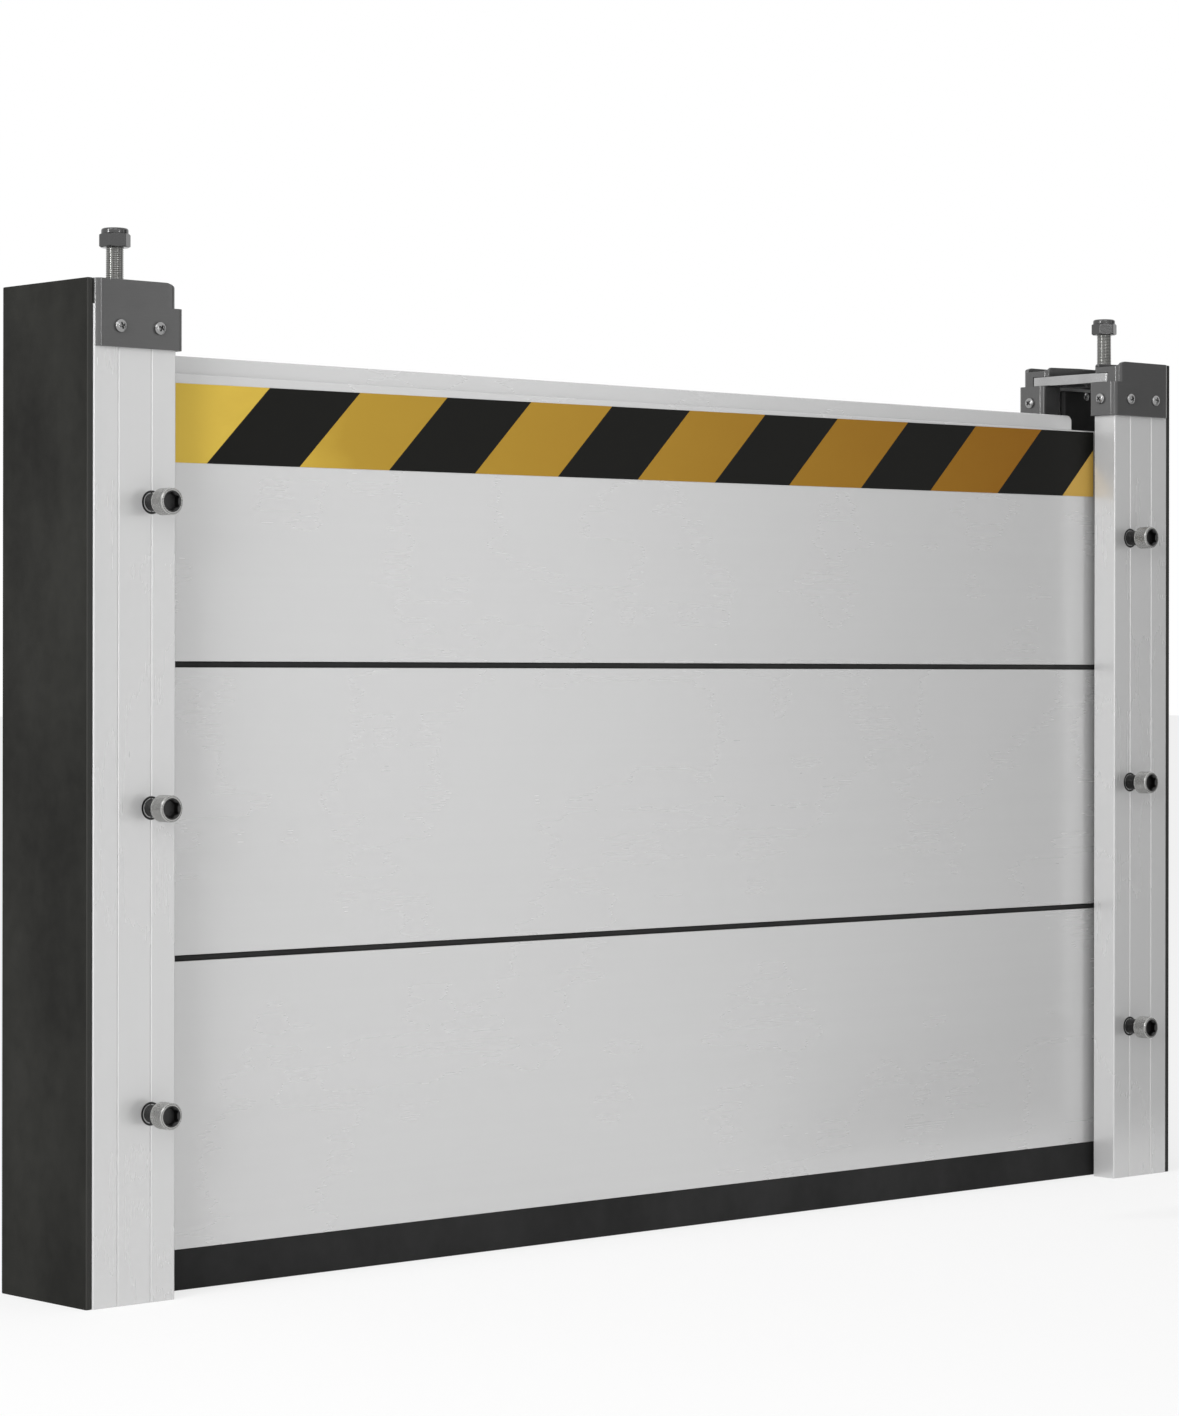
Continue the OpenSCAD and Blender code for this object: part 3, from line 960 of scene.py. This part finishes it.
@dataclass(frozen=True)
class CapBracket(PostPart):
    """The bent sheet on a post's top: two sleeves around the arms, two smaller ones above them and a web."""

    sheet: float = 3 * MM
    bend: float = 5 * MM  # Outer radius.
    inset: float = 0.3 * MM  # How far its outer side lies behind the post's.
    reach: float = 22 * MM  # How far a return goes back from the nose.
    step: float = 6 * MM  # How far the upper sleeves' nose lies behind the lower ones'.
    corner: float = 9 * MM  # Radius of the upper edge's fall towards the nose.
    corner_rows: tuple[float, ...] = (1.0, 0.85, 0.7)  # Rows on that fall, as shares of its radius.
    play: float = 0.3 * MM  # Gap around the press plate.
    edge: float = 0.4 * MM

    def bent(self, corners: Any) -> np.ndarray:
        """Middle line of the sheet through corners, with its bends."""
        return arcs(corners, self.bend - self.sheet / 2, steps=9, closed=False)

    def sleeve_lines(self, nose: float) -> tuple[float, float, float]:
        """Middle lines of the sheet: the nose flange's x, the plate's y and the return's y."""
        half = self.sheet / 2
        return nose - half, self.half_depth + half, self.half_gap - half

    def lower_sleeve(self, low: np.ndarray, high: np.ndarray) -> Surface:
        """The sheet around the front arm, below the post's top. Its outer bend ends in the post's web.

        Args:
            low: Lowest corner of the bracket.
            high: Highest corner of the bracket.

        Returns:
            A closed surface.
        """
        nose, plate, inside = self.sleeve_lines(high[0])
        back = low[0] + self.sheet / 2
        path = self.bent([(back, self.bend - plate), (back, -plate), (nose, -plate), (nose, -inside),
                          (high[0] - self.reach, -inside)])
        lower, upper = np.full(len(path), low[2]), np.full(len(path), self.height)
        return strip(path, lower, upper, self.sheet, (self.edge, HIDDEN_EDGE), self.edge)

    def upper_sleeves(self, low: np.ndarray, high: np.ndarray) -> Surface:
        """One sheet through both upper sleeves and the web.

        Its lower edge rises over the press plate's slot. Its upper edge bows down
        towards the nose's outer face f on a circle: top - r + sqrt(r^2 - (x - f + r)^2).

        Args:
            low: Lowest corner of the bracket.
            high: Highest corner of the bracket.

        Returns:
            A closed surface.
        """
        nose, plate, inside = self.sleeve_lines(high[0] - self.step)
        back = low[0] + self.sheet / 2
        half = [(back, -inside), (nose, -inside), (nose, -plate), (back, -plate)]
        path = self.bent([*half, *[(x, -y) for x, y in half[::-1]]])
        plate_low, plate_high = self.own_box("press_plate")
        slot_x, slot_y = plate_low[0] - self.play, plate_high[1] + self.play
        for turn in (-1, 1):
            path = with_step(path, np.array([slot_x, turn * inside]))
            path = with_step(path, np.array([nose, turn * slot_y]))
            for share in self.corner_rows:
                path = with_step(path, np.array([nose - share * self.corner, turn * plate]))
        in_slot = (path[:, 0] > slot_x) & (np.abs(path[:, 1]) < slot_y)
        lower = np.where(in_slot, plate_high[2] + self.play, self.height)
        over = np.clip(path[:, 0] - nose - self.sheet / 2 + self.corner, 0, self.corner)
        upper = high[2] - self.corner + np.sqrt(self.corner ** 2 - over ** 2)
        return strip(path, lower, upper, self.sheet, (HIDDEN_EDGE, self.edge), self.edge)

    def make(self) -> None:
        """Builds the bracket."""
        low, high = self.own_box("cap_bracket")
        low[0] = self.inset
        front = self.lower_sleeve(low, high)
        surface = front.plus(front.mirrored(y=-1.0), self.upper_sleeves(low, high))
        self.piece(surface, "Cap_Bracket", BRACKET_STEEL, "dark_steel", ["cap_bracket"])


def with_step(path: np.ndarray, place: np.ndarray, gap: float = 0.01 * MM) -> np.ndarray:
    """Adds two points to a path, close together around a place on it, so that an edge can jump there.

    Args:
        path: The path's x, y rows.
        place: A point on one of its straight parts.
        gap: Distance from the place to each new point.

    Returns:
        The path with the two points in it.
    """
    start, way = path[:-1], np.diff(path, axis=0)
    share = np.clip(((place - start) * way).sum(1) / (way ** 2).sum(1), 0, 1)
    part = int(np.linalg.norm(start + share[:, None] * way - place, axis=1).argmin())
    shift = unit(way[part]) * gap
    return np.insert(path, part + 1, [place - shift, place + shift], axis=0)


@dataclass(frozen=True)
class SheetScrews(PostPart):
    """The pan-head screws that hold a bracket on its post."""

    radius: float = 4.5 * MM
    rise: float = 3 * MM  # Height of a head.
    rim: float = 0.4  # Share of the height at its rim.
    outer: float = 19 * MM  # From the post's outer side to the outer screws.
    inner: float = 16 * MM  # From the post's inner side to the inner screws.
    recess: float = 2.3 * MM  # Reach of the cross recess.
    cross_arm: float = 0.55 * MM  # Half the width of its arms.
    sunk: float = 0.6  # Share of the height to which it goes down.

    def head(self, turn: float) -> Surface:
        """A domed head with a cross recess, standing on z = 0.

        At the share s of its radius the dome lies at rise * (rim + (1 - rim) sqrt(1 - s^2)).
        The recess lowers it where the smaller of |x| and |y| is within an arm's
        half width and the radius within the recess, each with a soft limit.

        Args:
            turn: Angle of the recess.

        Returns:
            A closed surface.
        """
        rows, columns = 28, 96
        share = np.linspace(0, 1, rows)[:, None]
        angle = np.arange(columns) * TAU / columns
        radius = np.broadcast_to(self.radius * share, (rows, columns))
        dome = self.rise * (self.rim + (1 - self.rim) * np.sqrt(1 - share ** 2))
        across = np.minimum(np.abs(radius * np.cos(angle)), np.abs(radius * np.sin(angle)))
        in_arm = 1 - smooth(0.6, 1.1, across / self.cross_arm)
        in_reach = 1 - smooth(0.8, 1.05, radius / self.recess)
        height = dome - self.sunk * self.rise * (in_arm * in_reach)
        radius = np.concatenate([radius, radius[-1:], np.zeros((1, columns))])
        height = np.concatenate([height, np.zeros((2, columns))])
        return round_surface(radius, height, turn)

    def make(self) -> None:
        """Builds the six screws of this side."""
        low, high = self.own_box("cap_bracket")
        level = (low[2] + self.height) / 2
        nose, deep = high[0], high[1]
        middle = self.half_depth - self.arm / 2
        outer, inner = self.outer, self.width - self.inner
        spots = [  # way, x, y, turn of the recess
            (Facing.FRONT, outer, -deep, 0.3), (Facing.FRONT, inner, -deep, 1.1),
            (Facing.REAR, outer, deep, 0.8), (Facing.REAR, inner, deep, 1.6),
            (Facing.RIGHT, nose, -middle, -0.7), (Facing.RIGHT, nose, middle, 0.7),
        ]
        heads = [self.head(turn).facing(way).moved(x, y, level) for way, x, y, turn in spots]
        self.piece(heads[0].plus(*heads[1:]), "Cap_Screws", PAN_STEEL, "bright_steel", ["cap_screws"])


@dataclass(frozen=True)
class PressPlate(PostPart):
    """The flat bar that lies on the post's arms and carries the press bolt."""

    corner: float = 2 * MM
    edge: float = 0.8 * MM
    bore: float = 6.05 * MM
    columns: int = 48

    def make(self) -> None:
        """Builds the plate, with a round bore on the press bolt's axis."""
        low, high = self.own_box("press_bolt")
        clockwise = -np.arange(self.columns) * TAU / self.columns
        hole = (low + high)[:2] / 2 + self.bore * np.stack([np.cos(clockwise), np.sin(clockwise)], -1)
        surface = self.block("press_plate", self.corner, self.edge, steps=5, holes=[hole])
        self.piece(surface, "Press_Plate", PLATE_STEEL, "bright_steel", ["press_plate"])


@dataclass(frozen=True)
class PressBolt(PostPart):
    """The vertical bolt with its pressing foot and its locking nut."""

    diameter: float = 12 * MM
    pitch: float = 1.25 * MM
    foot: float = 6 * MM
    chamfer: float = 0.6 * MM
    collar: float = 3.5 * MM
    collar_radius: float = 9.25 * MM
    collar_rounding: float = 1.6 * MM
    blunt: float = 1.125  # Reach of the nut's corners, as a share of half its width across flats.
    bevel: float = 0.965  # Where its two cones start, as a share of the same.
    slope: float = 1.73  # Rise of the cones' radius per height.
    turn: float = math.radians(6)

    def nut(self, flats: float, low: float, high: float) -> Surface:
        """A hexagon nut with a round locking collar, standing around Z.

        Between the heights low and high of the hexagon, the radius is the smallest
        of the hexagon's, of a cylinder that blunts its corners and of two cones
        that start just inside the flats.

        Args:
            flats: Half the width across flats.
            low: Height of the lower face.
            high: Height of the hexagon's upper face.

        Returns:
            A closed ring.
        """
        columns = 120
        bore = self.diameter / 2 + 0.02 * MM
        near = np.array([0, 0.15, 0.35, 0.6, 0.85, 1.1, 1.4]) * MM
        level = np.concatenate([low + near, high - near[::-1]])[:, None]
        cone = self.bevel * flats + self.slope * np.minimum(level - low, high - level)
        body = np.minimum(flats * np.minimum(hexagon(columns), self.blunt), cone)
        top = high + self.collar
        rise, inwards = edge_rounding(self.collar_rounding, steps=7)
        rings = [  # radius, height
            (self.collar_radius, high), *zip(self.collar_radius - inwards[::-1], top - rise[::-1]),
            (bore + 0.5 * MM, top), (bore, top - 0.5 * MM), (bore, low + 0.4 * MM), (bore + 0.4 * MM, low),
        ]
        ring_radius, ring_level = (np.array(part)[:, None] for part in zip(*rings))
        upper = np.broadcast_to(ring_radius, (len(rings), columns))
        radius = np.concatenate([body, upper, body[:1]])
        return round_surface(radius, np.concatenate([level, ring_level, level[:1]]), self.turn)

    def make(self) -> None:
        """Builds bolt, foot and nut, which move together."""
        low, high = self.own_box("press_bolt")
        nut_low, nut_high = self.own_box("press_nut")
        x, y = (nut_low[:2] + nut_high[:2]) / 2
        radius, rim = (high[0] - low[0]) / 2, self.chamfer
        bottom, top = low[2], low[2] + self.foot
        foot = lathe([(0, bottom), (radius - rim, bottom), (radius, bottom + rim), (radius, top - rim),
                      (radius - rim, top), (0, top)], columns=64)
        rod = thread(self.diameter, self.pitch, top - 0.5 * MM, high[2])
        self.piece(foot.plus(rod).moved(x, y), "Press_Bolt", BOLT_STEEL, "bright_steel",
                   ["press_bolt"], "press_bolt", sharp=40)
        nut = self.nut((nut_high[1] - nut_low[1]) / 2, nut_low[2], nut_high[2] - self.collar)
        self.piece(nut.moved(x, y), "Press_Nut", NUT_STEEL, "dark_steel",
                   ["press_nut"], "press_bolt", sharp=25)


@dataclass(frozen=True)
class ClampScrews(PostPart):
    """The three horizontal screws that press the boards against the rear seal."""

    diameter: float = 12 * MM
    pitch: float = 1.75 * MM
    head: float = 12 * MM
    radius: float = 9 * MM
    flutes: int = 60
    flute_depth: float = 0.35 * MM
    socket: float = 5.4 * MM  # Half the width across the flats.
    socket_depth: float = 6 * MM
    mouth: float = 7.2 * MM  # Radius of the hole that holds the socket's cup.
    insert_radius: float = 7.95 * MM
    flange: float = 0.2 * MM  # How far an insert stands out from the post.

    def knurled_head(self, low: float, high: float) -> Surface:
        """A cylinder head with a straight knurl, a chamfered rim and a round hole for its socket.

        The knurl takes depth * (1 - cos(n * angle)) / 2 off the radius between the
        two plain edges.

        Args:
            low: Height of the underside.
            high: Height of the outer face.

        Returns:
            A closed surface.
        """
        columns = self.flutes * 8
        wave = (1 - np.cos(np.arange(columns) * TAU / columns * self.flutes)) / 2
        floor, radius, rim = high - self.socket_depth, self.radius, 0.9 * MM
        rows = [  # radius, height, share of the knurl
            (0, low, 0), (radius - 0.4 * MM, low, 0), (radius - 0.1 * MM, low + 0.12 * MM, 0),
            (radius, low + 0.5 * MM, 0), (radius, low + 0.7 * MM, 0.7), (radius, low + 1.0 * MM, 1),
            (radius, high - rim - 0.6 * MM, 1), (radius, high - rim - 0.3 * MM, 0.7),
            (radius, high - rim, 0), (radius - 0.35 * MM, high - 0.45 * MM, 0),
            (radius - 0.8 * MM, high - 0.08 * MM, 0), (radius - 1.1 * MM, high, 0),
            (self.mouth, high, 0), (self.mouth, floor, 0), (0, floor, 0),
        ]
        size, level, knurl = (np.array(part)[:, None] for part in zip(*rows))
        return round_surface(size - knurl * self.flute_depth * wave, level)

    def socket_cup(self, high: float) -> Surface:
        """The dark parts: the hexagon socket's cup with its chamfered mouth, dark as painted shade in the
        recess, and the rim's bevel, dark as a painted reflection.

        Args:
            high: Height of the head's outer face.

        Returns:
            A closed surface.
        """
        floor, outside = high - self.socket_depth, self.mouth - 0.02 * MM
        rows = [  # radius, height, share of the hexagon
            (0, floor + 0.02 * MM, 0), (outside, floor + 0.02 * MM, 0), (outside, high - 0.1 * MM, 0),
            (outside - 0.15 * MM, high + 0.03 * MM, 0), (self.socket + 0.7 * MM, high - 0.3 * MM, 0.3),
            (self.socket, high - 1.1 * MM, 1), (self.socket, floor + 1.0 * MM, 1), (0, floor + 0.3 * MM, 1),
        ]
        size, level, six = (np.array(part)[:, None] for part in zip(*rows))
        cup = round_surface(size * (1 + six * (hexagon(96) - 1)), level)
        bevel = [(self.radius + 0.02 * MM, high - 1.0 * MM), (self.radius - 0.85 * MM, high + 0.02 * MM),
                 (self.radius - 0.95 * MM, high - 0.2 * MM), (self.radius - 0.1 * MM, high - 1.1 * MM)]
        return cup.plus(lathe([*bevel, bevel[0]], columns=96))

    def make(self) -> None:
        """Builds the screws and the threaded inserts they turn in."""
        inserts = []
        for place in ("lower", "middle", "upper"):
            node, label = f"{place}_clamp_screw", f"{place.title()}_Clamp"
            low, high = self.own_box(node)
            x, _, z = (low + high) / 2
            under = -low[1] - self.head
            rod = thread(self.diameter, self.pitch, -high[1], under + 0.4 * MM)
            # The shank and the socket are the head's steel painted dark: the shank as a painted dark
            # reflection, the socket as painted shade.
            head, dark, insert = (
                part.facing(Facing.FRONT).moved(x, 0, z) for part in
                (self.knurled_head(under, -low[1]), rod.plus(self.socket_cup(-low[1])), self.insert()))
            self.piece(head, f"{label}_Screw", HEAD_STEEL, "bright_steel", [node], node, sharp=28)
            self.piece(dark, f"{label}_Shank_And_Socket", INSERT_STEEL, "dark_steel", body=node, sharp=25)
            inserts.append(insert)
        surface = inserts[0].plus(*inserts[1:])
        self.piece(surface, "Clamp_Inserts", INSERT_STEEL, "dark_steel", ["clamp_inserts"])

    def insert(self) -> Surface:
        """A threaded insert through the front arm, with a thin chamfered flange on its face.

        Returns:
            A closed ring around Z.
        """
        inner, outer = self.half_gap, self.half_depth
        bore, body, proud = self.diameter / 2 + 0.05 * MM, self.insert_radius, self.flange
        ring = [(bore, inner), (body, inner), (body, outer), (body - 0.05 * MM, outer + 0.7 * proud),
                (body - 0.3 * MM, outer + proud), (bore + 0.6 * MM, outer + proud), (bore, outer - 0.4 * MM)]
        return lathe([*ring, ring[0]], columns=64)


@dataclass(frozen=True)
class ChannelRubber(PostPart):
    """The pressure strip behind the clamp screws and the seal on the rear arm, with its rivet."""

    rounding: float = 1.4 * MM
    rivet: float = 3.4 * MM  # Radius of its head.
    rise: float = 1.3 * MM
    sunk: float = 0.2 * MM  # How far the head's rim lies in the rubber.
    across: float = 12 * MM  # From the seal's outer edge to the rivet.
    down: float = 4 * MM  # From the seal's top to the rivet.

    def make(self) -> None:
        """Builds both and the rivet that holds the seal's top."""
        for node in ("pressure_strip", "channel_seal"):
            surface = self.block(node, self.rounding)
            self.piece(surface, node.title(), SEAL_RUBBER, "black_rubber", [node])
        low, high = self.own_box("channel_seal")
        angle = np.linspace(math.pi / 2, 0, 7)
        dome = zip(self.rivet * np.cos(angle), self.rise * np.sin(angle) - self.sunk)
        under = -self.sunk - 0.1 * MM
        head = lathe([*dome, (self.rivet, under), (0, under)], columns=40).facing(Facing.FRONT)
        head = head.moved(low[0] + self.across, low[1], high[2] - self.down)
        self.piece(head, "Seal_Rivet", PAN_STEEL, "bright_steel")


# ---- boards


@dataclass(frozen=True)
class Board:
    """A board with a groove below, a tongue above and a plate on each end."""

    node: str
    tongue: float = 12 * MM
    shoulder: float = 3.5 * MM
    tongue_half_length: float = 465 * MM
    tongue_corner: float = 5 * MM
    wall: float = 3 * MM
    groove: float = 9 * MM
    corner: float = 0.7 * MM
    lip: float = 0.4 * MM
    root: float = 0.5 * MM

    def make(self) -> None:
        """Builds the board and its end plates."""
        low, high = node_box(self.node)
        top, deep = high[2] - self.tongue, high[1]
        inner = deep - self.wall
        bottom, roof = low[2], low[2] + self.groove
        corners = [(-deep, bottom), (-inner, bottom), (-inner, roof), (inner, roof),
                   (inner, bottom), (deep, bottom), (deep, top), (-deep, top)]
        radii = [self.corner, self.lip, self.root, self.root, self.lip, *[self.corner] * 3]
        body = bar([outline(corners, radii)], low[0], high[0], edge=0.4 * MM).facing(Facing.RIGHT)
        half, thin, under = self.tongue_half_length, deep - self.shoulder, top - self.wall
        plan = outline([(-half, under), (half, under), (half, high[2]), (-half, high[2])],
                       [0, 0, self.tongue_corner, self.tongue_corner], steps=9)
        tongue = bar([plan], -thin, thin, edge=0.8 * MM, steps=5).facing(Facing.FRONT)
        name = self.node.title()
        dress(body.plus(tongue), name, BOARD_METAL, [self.node])
        self.make_end_plates(name)

    def make_end_plates(self, name: str) -> None:
        """Builds the plates on the board's two ends.

        Args:
            name: Name of the board's piece.
        """
        low, high = node_box(f"{self.node}_end_caps")
        board_end = node_box(self.node)[1][0]
        plan = rectangle(low[1], low[2], high[1], high[2], radius=1.5 * MM, steps=6)
        plate = bar([plan], board_end, high[0], edge=0.5 * MM, steps=4)
        plates = plate.facing(Facing.RIGHT).plus(plate.facing(Facing.LEFT))
        dress(plates, f"{name}_End_Caps", CAP_PLASTIC, [f"{self.node}_end_caps"])


@dataclass(frozen=True)
class Seals:
    """The soft lips between the boards and the thick seal below them."""

    lip: float = 3.4 * MM
    recess: float = 0.4 * MM
    foot_corner: float = 2.2 * MM
    corner: float = 1 * MM
    neck_depth: float = 5 * MM
    neck_short: float = 3 * MM

    def seam(self, place: str) -> None:
        """Builds the two lips of one seam, beside the tongue.

        Args:
            place: Which seam, lower or upper.
        """
        low, high = node_box(f"{place}_seam_seal")
        outer = high[1] - self.recess
        plan = rectangle(outer - self.lip, low[2], outer, high[2], radius=1.6 * MM, steps=7)
        lip = bar([plan], low[0], high[0], edge=0.5 * MM, steps=4)
        other = bar([plan[::-1] * (-1, 1)], low[0], high[0], edge=0.5 * MM, steps=4)
        surface = lip.plus(other).facing(Facing.RIGHT)
        dress(surface, f"{place.title()}_Seam_Seal", SEAL_RUBBER, [f"{place}_seam_seal"])

    def bottom(self) -> None:
        """Builds the seal on the floor: a block with a rounded foot and a tongue in the lowest board."""
        low, high = node_box("bottom_seal")
        board_low = node_box("lower_board")[0][2]
        plan = outline([(low[1], low[2]), (high[1], low[2]), (high[1], board_low), (low[1], board_low)],
                       [self.foot_corner, self.foot_corner, self.corner, self.corner], steps=8)
        block = bar([plan], low[0], high[0], edge=0.8 * MM, steps=4)
        thin = high[1] - Board.shoulder
        section = rectangle(-thin, board_low - self.neck_depth, thin, high[2], self.corner)
        neck = bar([section], low[0] + self.neck_short, high[0] - self.neck_short)
        surface = block.plus(neck).facing(Facing.RIGHT)
        dress(surface, "Bottom_Seal", SEAL_RUBBER, ["bottom_seal"])

    def make(self) -> None:
        """Builds every seal of the boards."""
        self.seam("lower")
        self.seam("upper")
        self.bottom()


@dataclass(frozen=True)
class WarningTape:
    """The striped tape on the top board's front, a little higher at its right end."""

    width: float = 54 * MM
    corner: float = 0.5 * MM

    def make(self) -> None:
        """Builds the tape."""
        low, high = node_box("warning_tape")
        left, right, bottom, top = float(low[0]), float(high[0]), low[2], high[2]
        corners = [(left, bottom), (right, top - self.width), (right, top), (left, bottom + self.width)]
        finish = HazardTape("Hazard_Tape", ends=(left, right))
        surface = bar([outline(corners, self.corner)], -high[1], -low[1], edge=0.1 * MM).facing(Facing.FRONT)
        dress(surface, "Warning_Tape", finish, ["warning_tape"])


# ---- studio


def flat(*corners: Point) -> Surface:
    """A flat surface with four corners."""
    return Surface(np.array(corners, float), [np.arange(4)[None]])


def seen_by_eye(tree: Tree) -> Signal:
    """1 for camera, glossy and transmission rays, otherwise 0."""
    camera, glossy, clear = (tree.add("ShaderNodeLightPath", output=f"Is {kind} Ray")
                             for kind in ("Camera", "Glossy", "Transmission"))
    return (camera + glossy + clear) > 0.5


@dataclass(frozen=True)
class Backdrop(Finish):
    """A pale floor that is nearly plain white where nothing shades it."""

    glow: float = 0.72  # Share of plain white that the camera and reflections see in it.
    dull: Colour = (0.9, 0.9, 0.9)
    pale: Colour = (0.94, 0.94, 0.94)

    def paint(self, tree: Tree) -> None:
        """Mixes a diffuse floor with plain white for camera, glossy and transmission rays.

        Args:
            tree: The material's node tree.
        """
        clouds = tree.noise(tree.place(), scale=3, detail=3)
        lit = tree.add("ShaderNodeBsdfDiffuse", {}, {"Color": tree.blend(self.dull, self.pale, clouds)})
        inputs = {0: seen_by_eye(tree) * self.glow, 1: lit, 2: tree.glow(WHITE, 1.0)}
        tree.end(tree.add("ShaderNodeMixShader", {}, inputs))


@dataclass(frozen=True)
class SoftPanel(Finish):
    """A glowing panel whose light changes along its own x."""

    half: float = 2.2  # Half its width.
    peak: float = 1.2  # Strength where it is brightest.
    fading: tuple[tuple[float, float], ...] = (  # Shares of the width and of the peak there.
        (0.12, 0.3), (0.34, 1.0), (0.46, 1.0), (0.58, 0.36), (0.85, 0.18))

    def paint(self, tree: Tree) -> None:
        """Emission whose grey follows the fading."""
        tone = tree.ramp((tree.axis("X") + self.half) / (2 * self.half), *self.fading)
        tree.end(tree.glow(tone, self.peak))


class Use(Enum):
    """What a lamp is for: all light, soft light alone, or the glints on shiny surfaces."""

    ALL = "all"
    LIGHT = "light"
    GLINT = "glint"


@dataclass(frozen=True)
class Lamp:
    """A rectangular soft box."""

    name: str
    place: Point
    target: Point
    size: tuple[float, float]
    watts: float
    use: Use = Use.ALL

    def make(self) -> None:
        """Adds the lamp."""
        data = bpy.data.lights.new(self.name, "AREA")
        data.shape = "RECTANGLE"
        data.size, data.size_y = self.size
        data.energy = self.watts
        lamp = bpy.data.objects.new(self.name, data)
        bpy.context.scene.collection.objects.link(lamp)
        lamp.visible_glossy = self.use is not Use.LIGHT
        lamp.visible_diffuse = self.use is not Use.GLINT
        lamp.location = self.place
        way = Vector(self.target) - Vector(self.place)
        lamp.rotation_euler = way.to_track_quat("-Z", "Y").to_euler()


@dataclass(frozen=True)
class Eye:
    """The camera."""

    place: Point = (-2.0833, -2.2230, 0.4201)
    yaw: float = 42.272  # Degrees from +Y towards +X.
    roll: float = 0.079  # Degrees about its own axis.
    lens: float = 101.77  # Focal length in millimetres.
    sensor: float = 36  # Height in millimetres.
    shift: float = -0.0243  # Share of the height by which the view is shifted.

    def make(self) -> None:
        """Adds the camera."""
        data = bpy.data.cameras.new("Camera")
        data.lens = self.lens
        data.sensor_fit = "VERTICAL"
        data.sensor_width = data.sensor_height = self.sensor
        data.shift_y = self.shift
        camera = bpy.data.objects.new("Camera", data)
        bpy.context.scene.collection.objects.link(camera)
        yaw, level, roll = (Matrix.Rotation(math.radians(angle), 4, axis) for angle, axis in
                            ((-self.yaw, "Z"), (90, "X"), (self.roll, "Z")))
        camera.matrix_world = Matrix.Translation(self.place) @ yaw @ level @ roll
        bpy.context.scene.camera = camera


@dataclass(frozen=True)
class Studio:
    """Floor, surroundings, lamps and camera."""

    floor_half: float = 30.0
    ambient: float = 0.58  # Strength of the soft light from all around.
    panel: Point = (2.9, -3.0, 0.02)
    panel_height: float = 2.4
    panel_yaw: float = 48  # Degrees.
    card: tuple[tuple[float, float], ...] = ((0.28, -0.2), (3.3, -2.6), (4.3, -1.4), (1.3, -0.2))
    card_height: float = 0.01
    lamps: tuple[Lamp, ...] = (
        Lamp("Key", (-2.2, -3.0, 2.6), (0.0, 0.0, 0.35), (1.6, 1.6), 16.0),
        Lamp("Far_Left", (-3.6, -1.2, 1.15), (0.0, 0.0, 0.45), (2.0, 1.8), 105.0, Use.LIGHT),
        Lamp("Left_Top", (-2.6, -0.6, 2.4), (0.0, 0.0, 0.4), (1.2, 1.2), 12.0),
        Lamp("Left_Strip", (-3.3, 0.1, 1.0), (-0.2, 0.0, 0.6), (0.25, 2.0), 24.0, Use.GLINT),
        Lamp("Front_Strip", (-0.45, -1.9, 0.8), (-0.1, 0.0, 0.7), (0.06, 0.9), 1.8, Use.GLINT),
    )

    def make(self) -> None:
        """Builds the studio."""
        bpy.context.scene.view_settings.view_transform = "Standard"
        self.make_floor()
        self.make_panel()
        self.make_world()
        for lamp in self.lamps:
            lamp.make()
        Eye().make()

    def make_floor(self) -> None:
        """Lays the floor at a height of 0."""
        half = self.floor_half
        floor = flat((-half, -half, 0), (half, -half, 0), (half, half, 0), (-half, half, 0))
        floor.build("Floor", Backdrop("Pale_Floor"))

    def make_panel(self) -> None:
        """Stands a glowing panel that the barrier's front mirrors, and lays a dim card before its right."""
        glow, dim = SoftPanel("Fading_Panel"), SoftPanel("Dim_Card", peak=0.45, fading=((0, 1), (1, 0.9)))
        half, tall = glow.half, self.panel_height
        upright = flat((-half, 0, 0), (half, 0, 0), (half, 0, tall), (-half, 0, tall))
        panel = upright.build("Soft_Panel", glow)
        panel.location = self.panel
        panel.rotation_euler = (0, 0, math.radians(self.panel_yaw))
        card = flat(*[(x, y, self.card_height) for x, y in self.card]).build("Floor_Card", dim)
        for stage in (panel, card):
            stage.visible_camera = False
            stage.visible_shadow = False

    def make_world(self) -> None:
        """White for camera, glossy and transmission rays, and a plain soft light otherwise."""
        world = bpy.data.worlds.new("Studio_World")
        bpy.context.scene.world = world
        world.use_nodes = True
        tree = Tree(world.node_tree)
        strength = seen_by_eye(tree) * (1 - self.ambient) + self.ambient
        sky = tree.add("ShaderNodeBackground", {}, {"Color": WHITE, "Strength": strength})
        tree.add("ShaderNodeOutputWorld", {}, {"Surface": sky})


@dataclass(frozen=True)
class FloodBarrier:
    """One bay of the barrier with both of its posts."""

    boards: tuple[str, ...] = ("lower_board", "middle_board", "top_board")

    def make(self) -> None:
        """Builds every piece."""
        for side in Side:
            for part in (Post, WallPad, CapBracket, SheetScrews, PressPlate, PressBolt, ClampScrews,
                         ChannelRubber):
                part(side).make()
        for node in self.boards:
            Board(node).make()
        Seals().make()
        WarningTape().make()


def main() -> None:
    """Builds the object and the studio."""
    FloodBarrier().make()
    Studio().make()


if __name__ == "__main__":
    main()
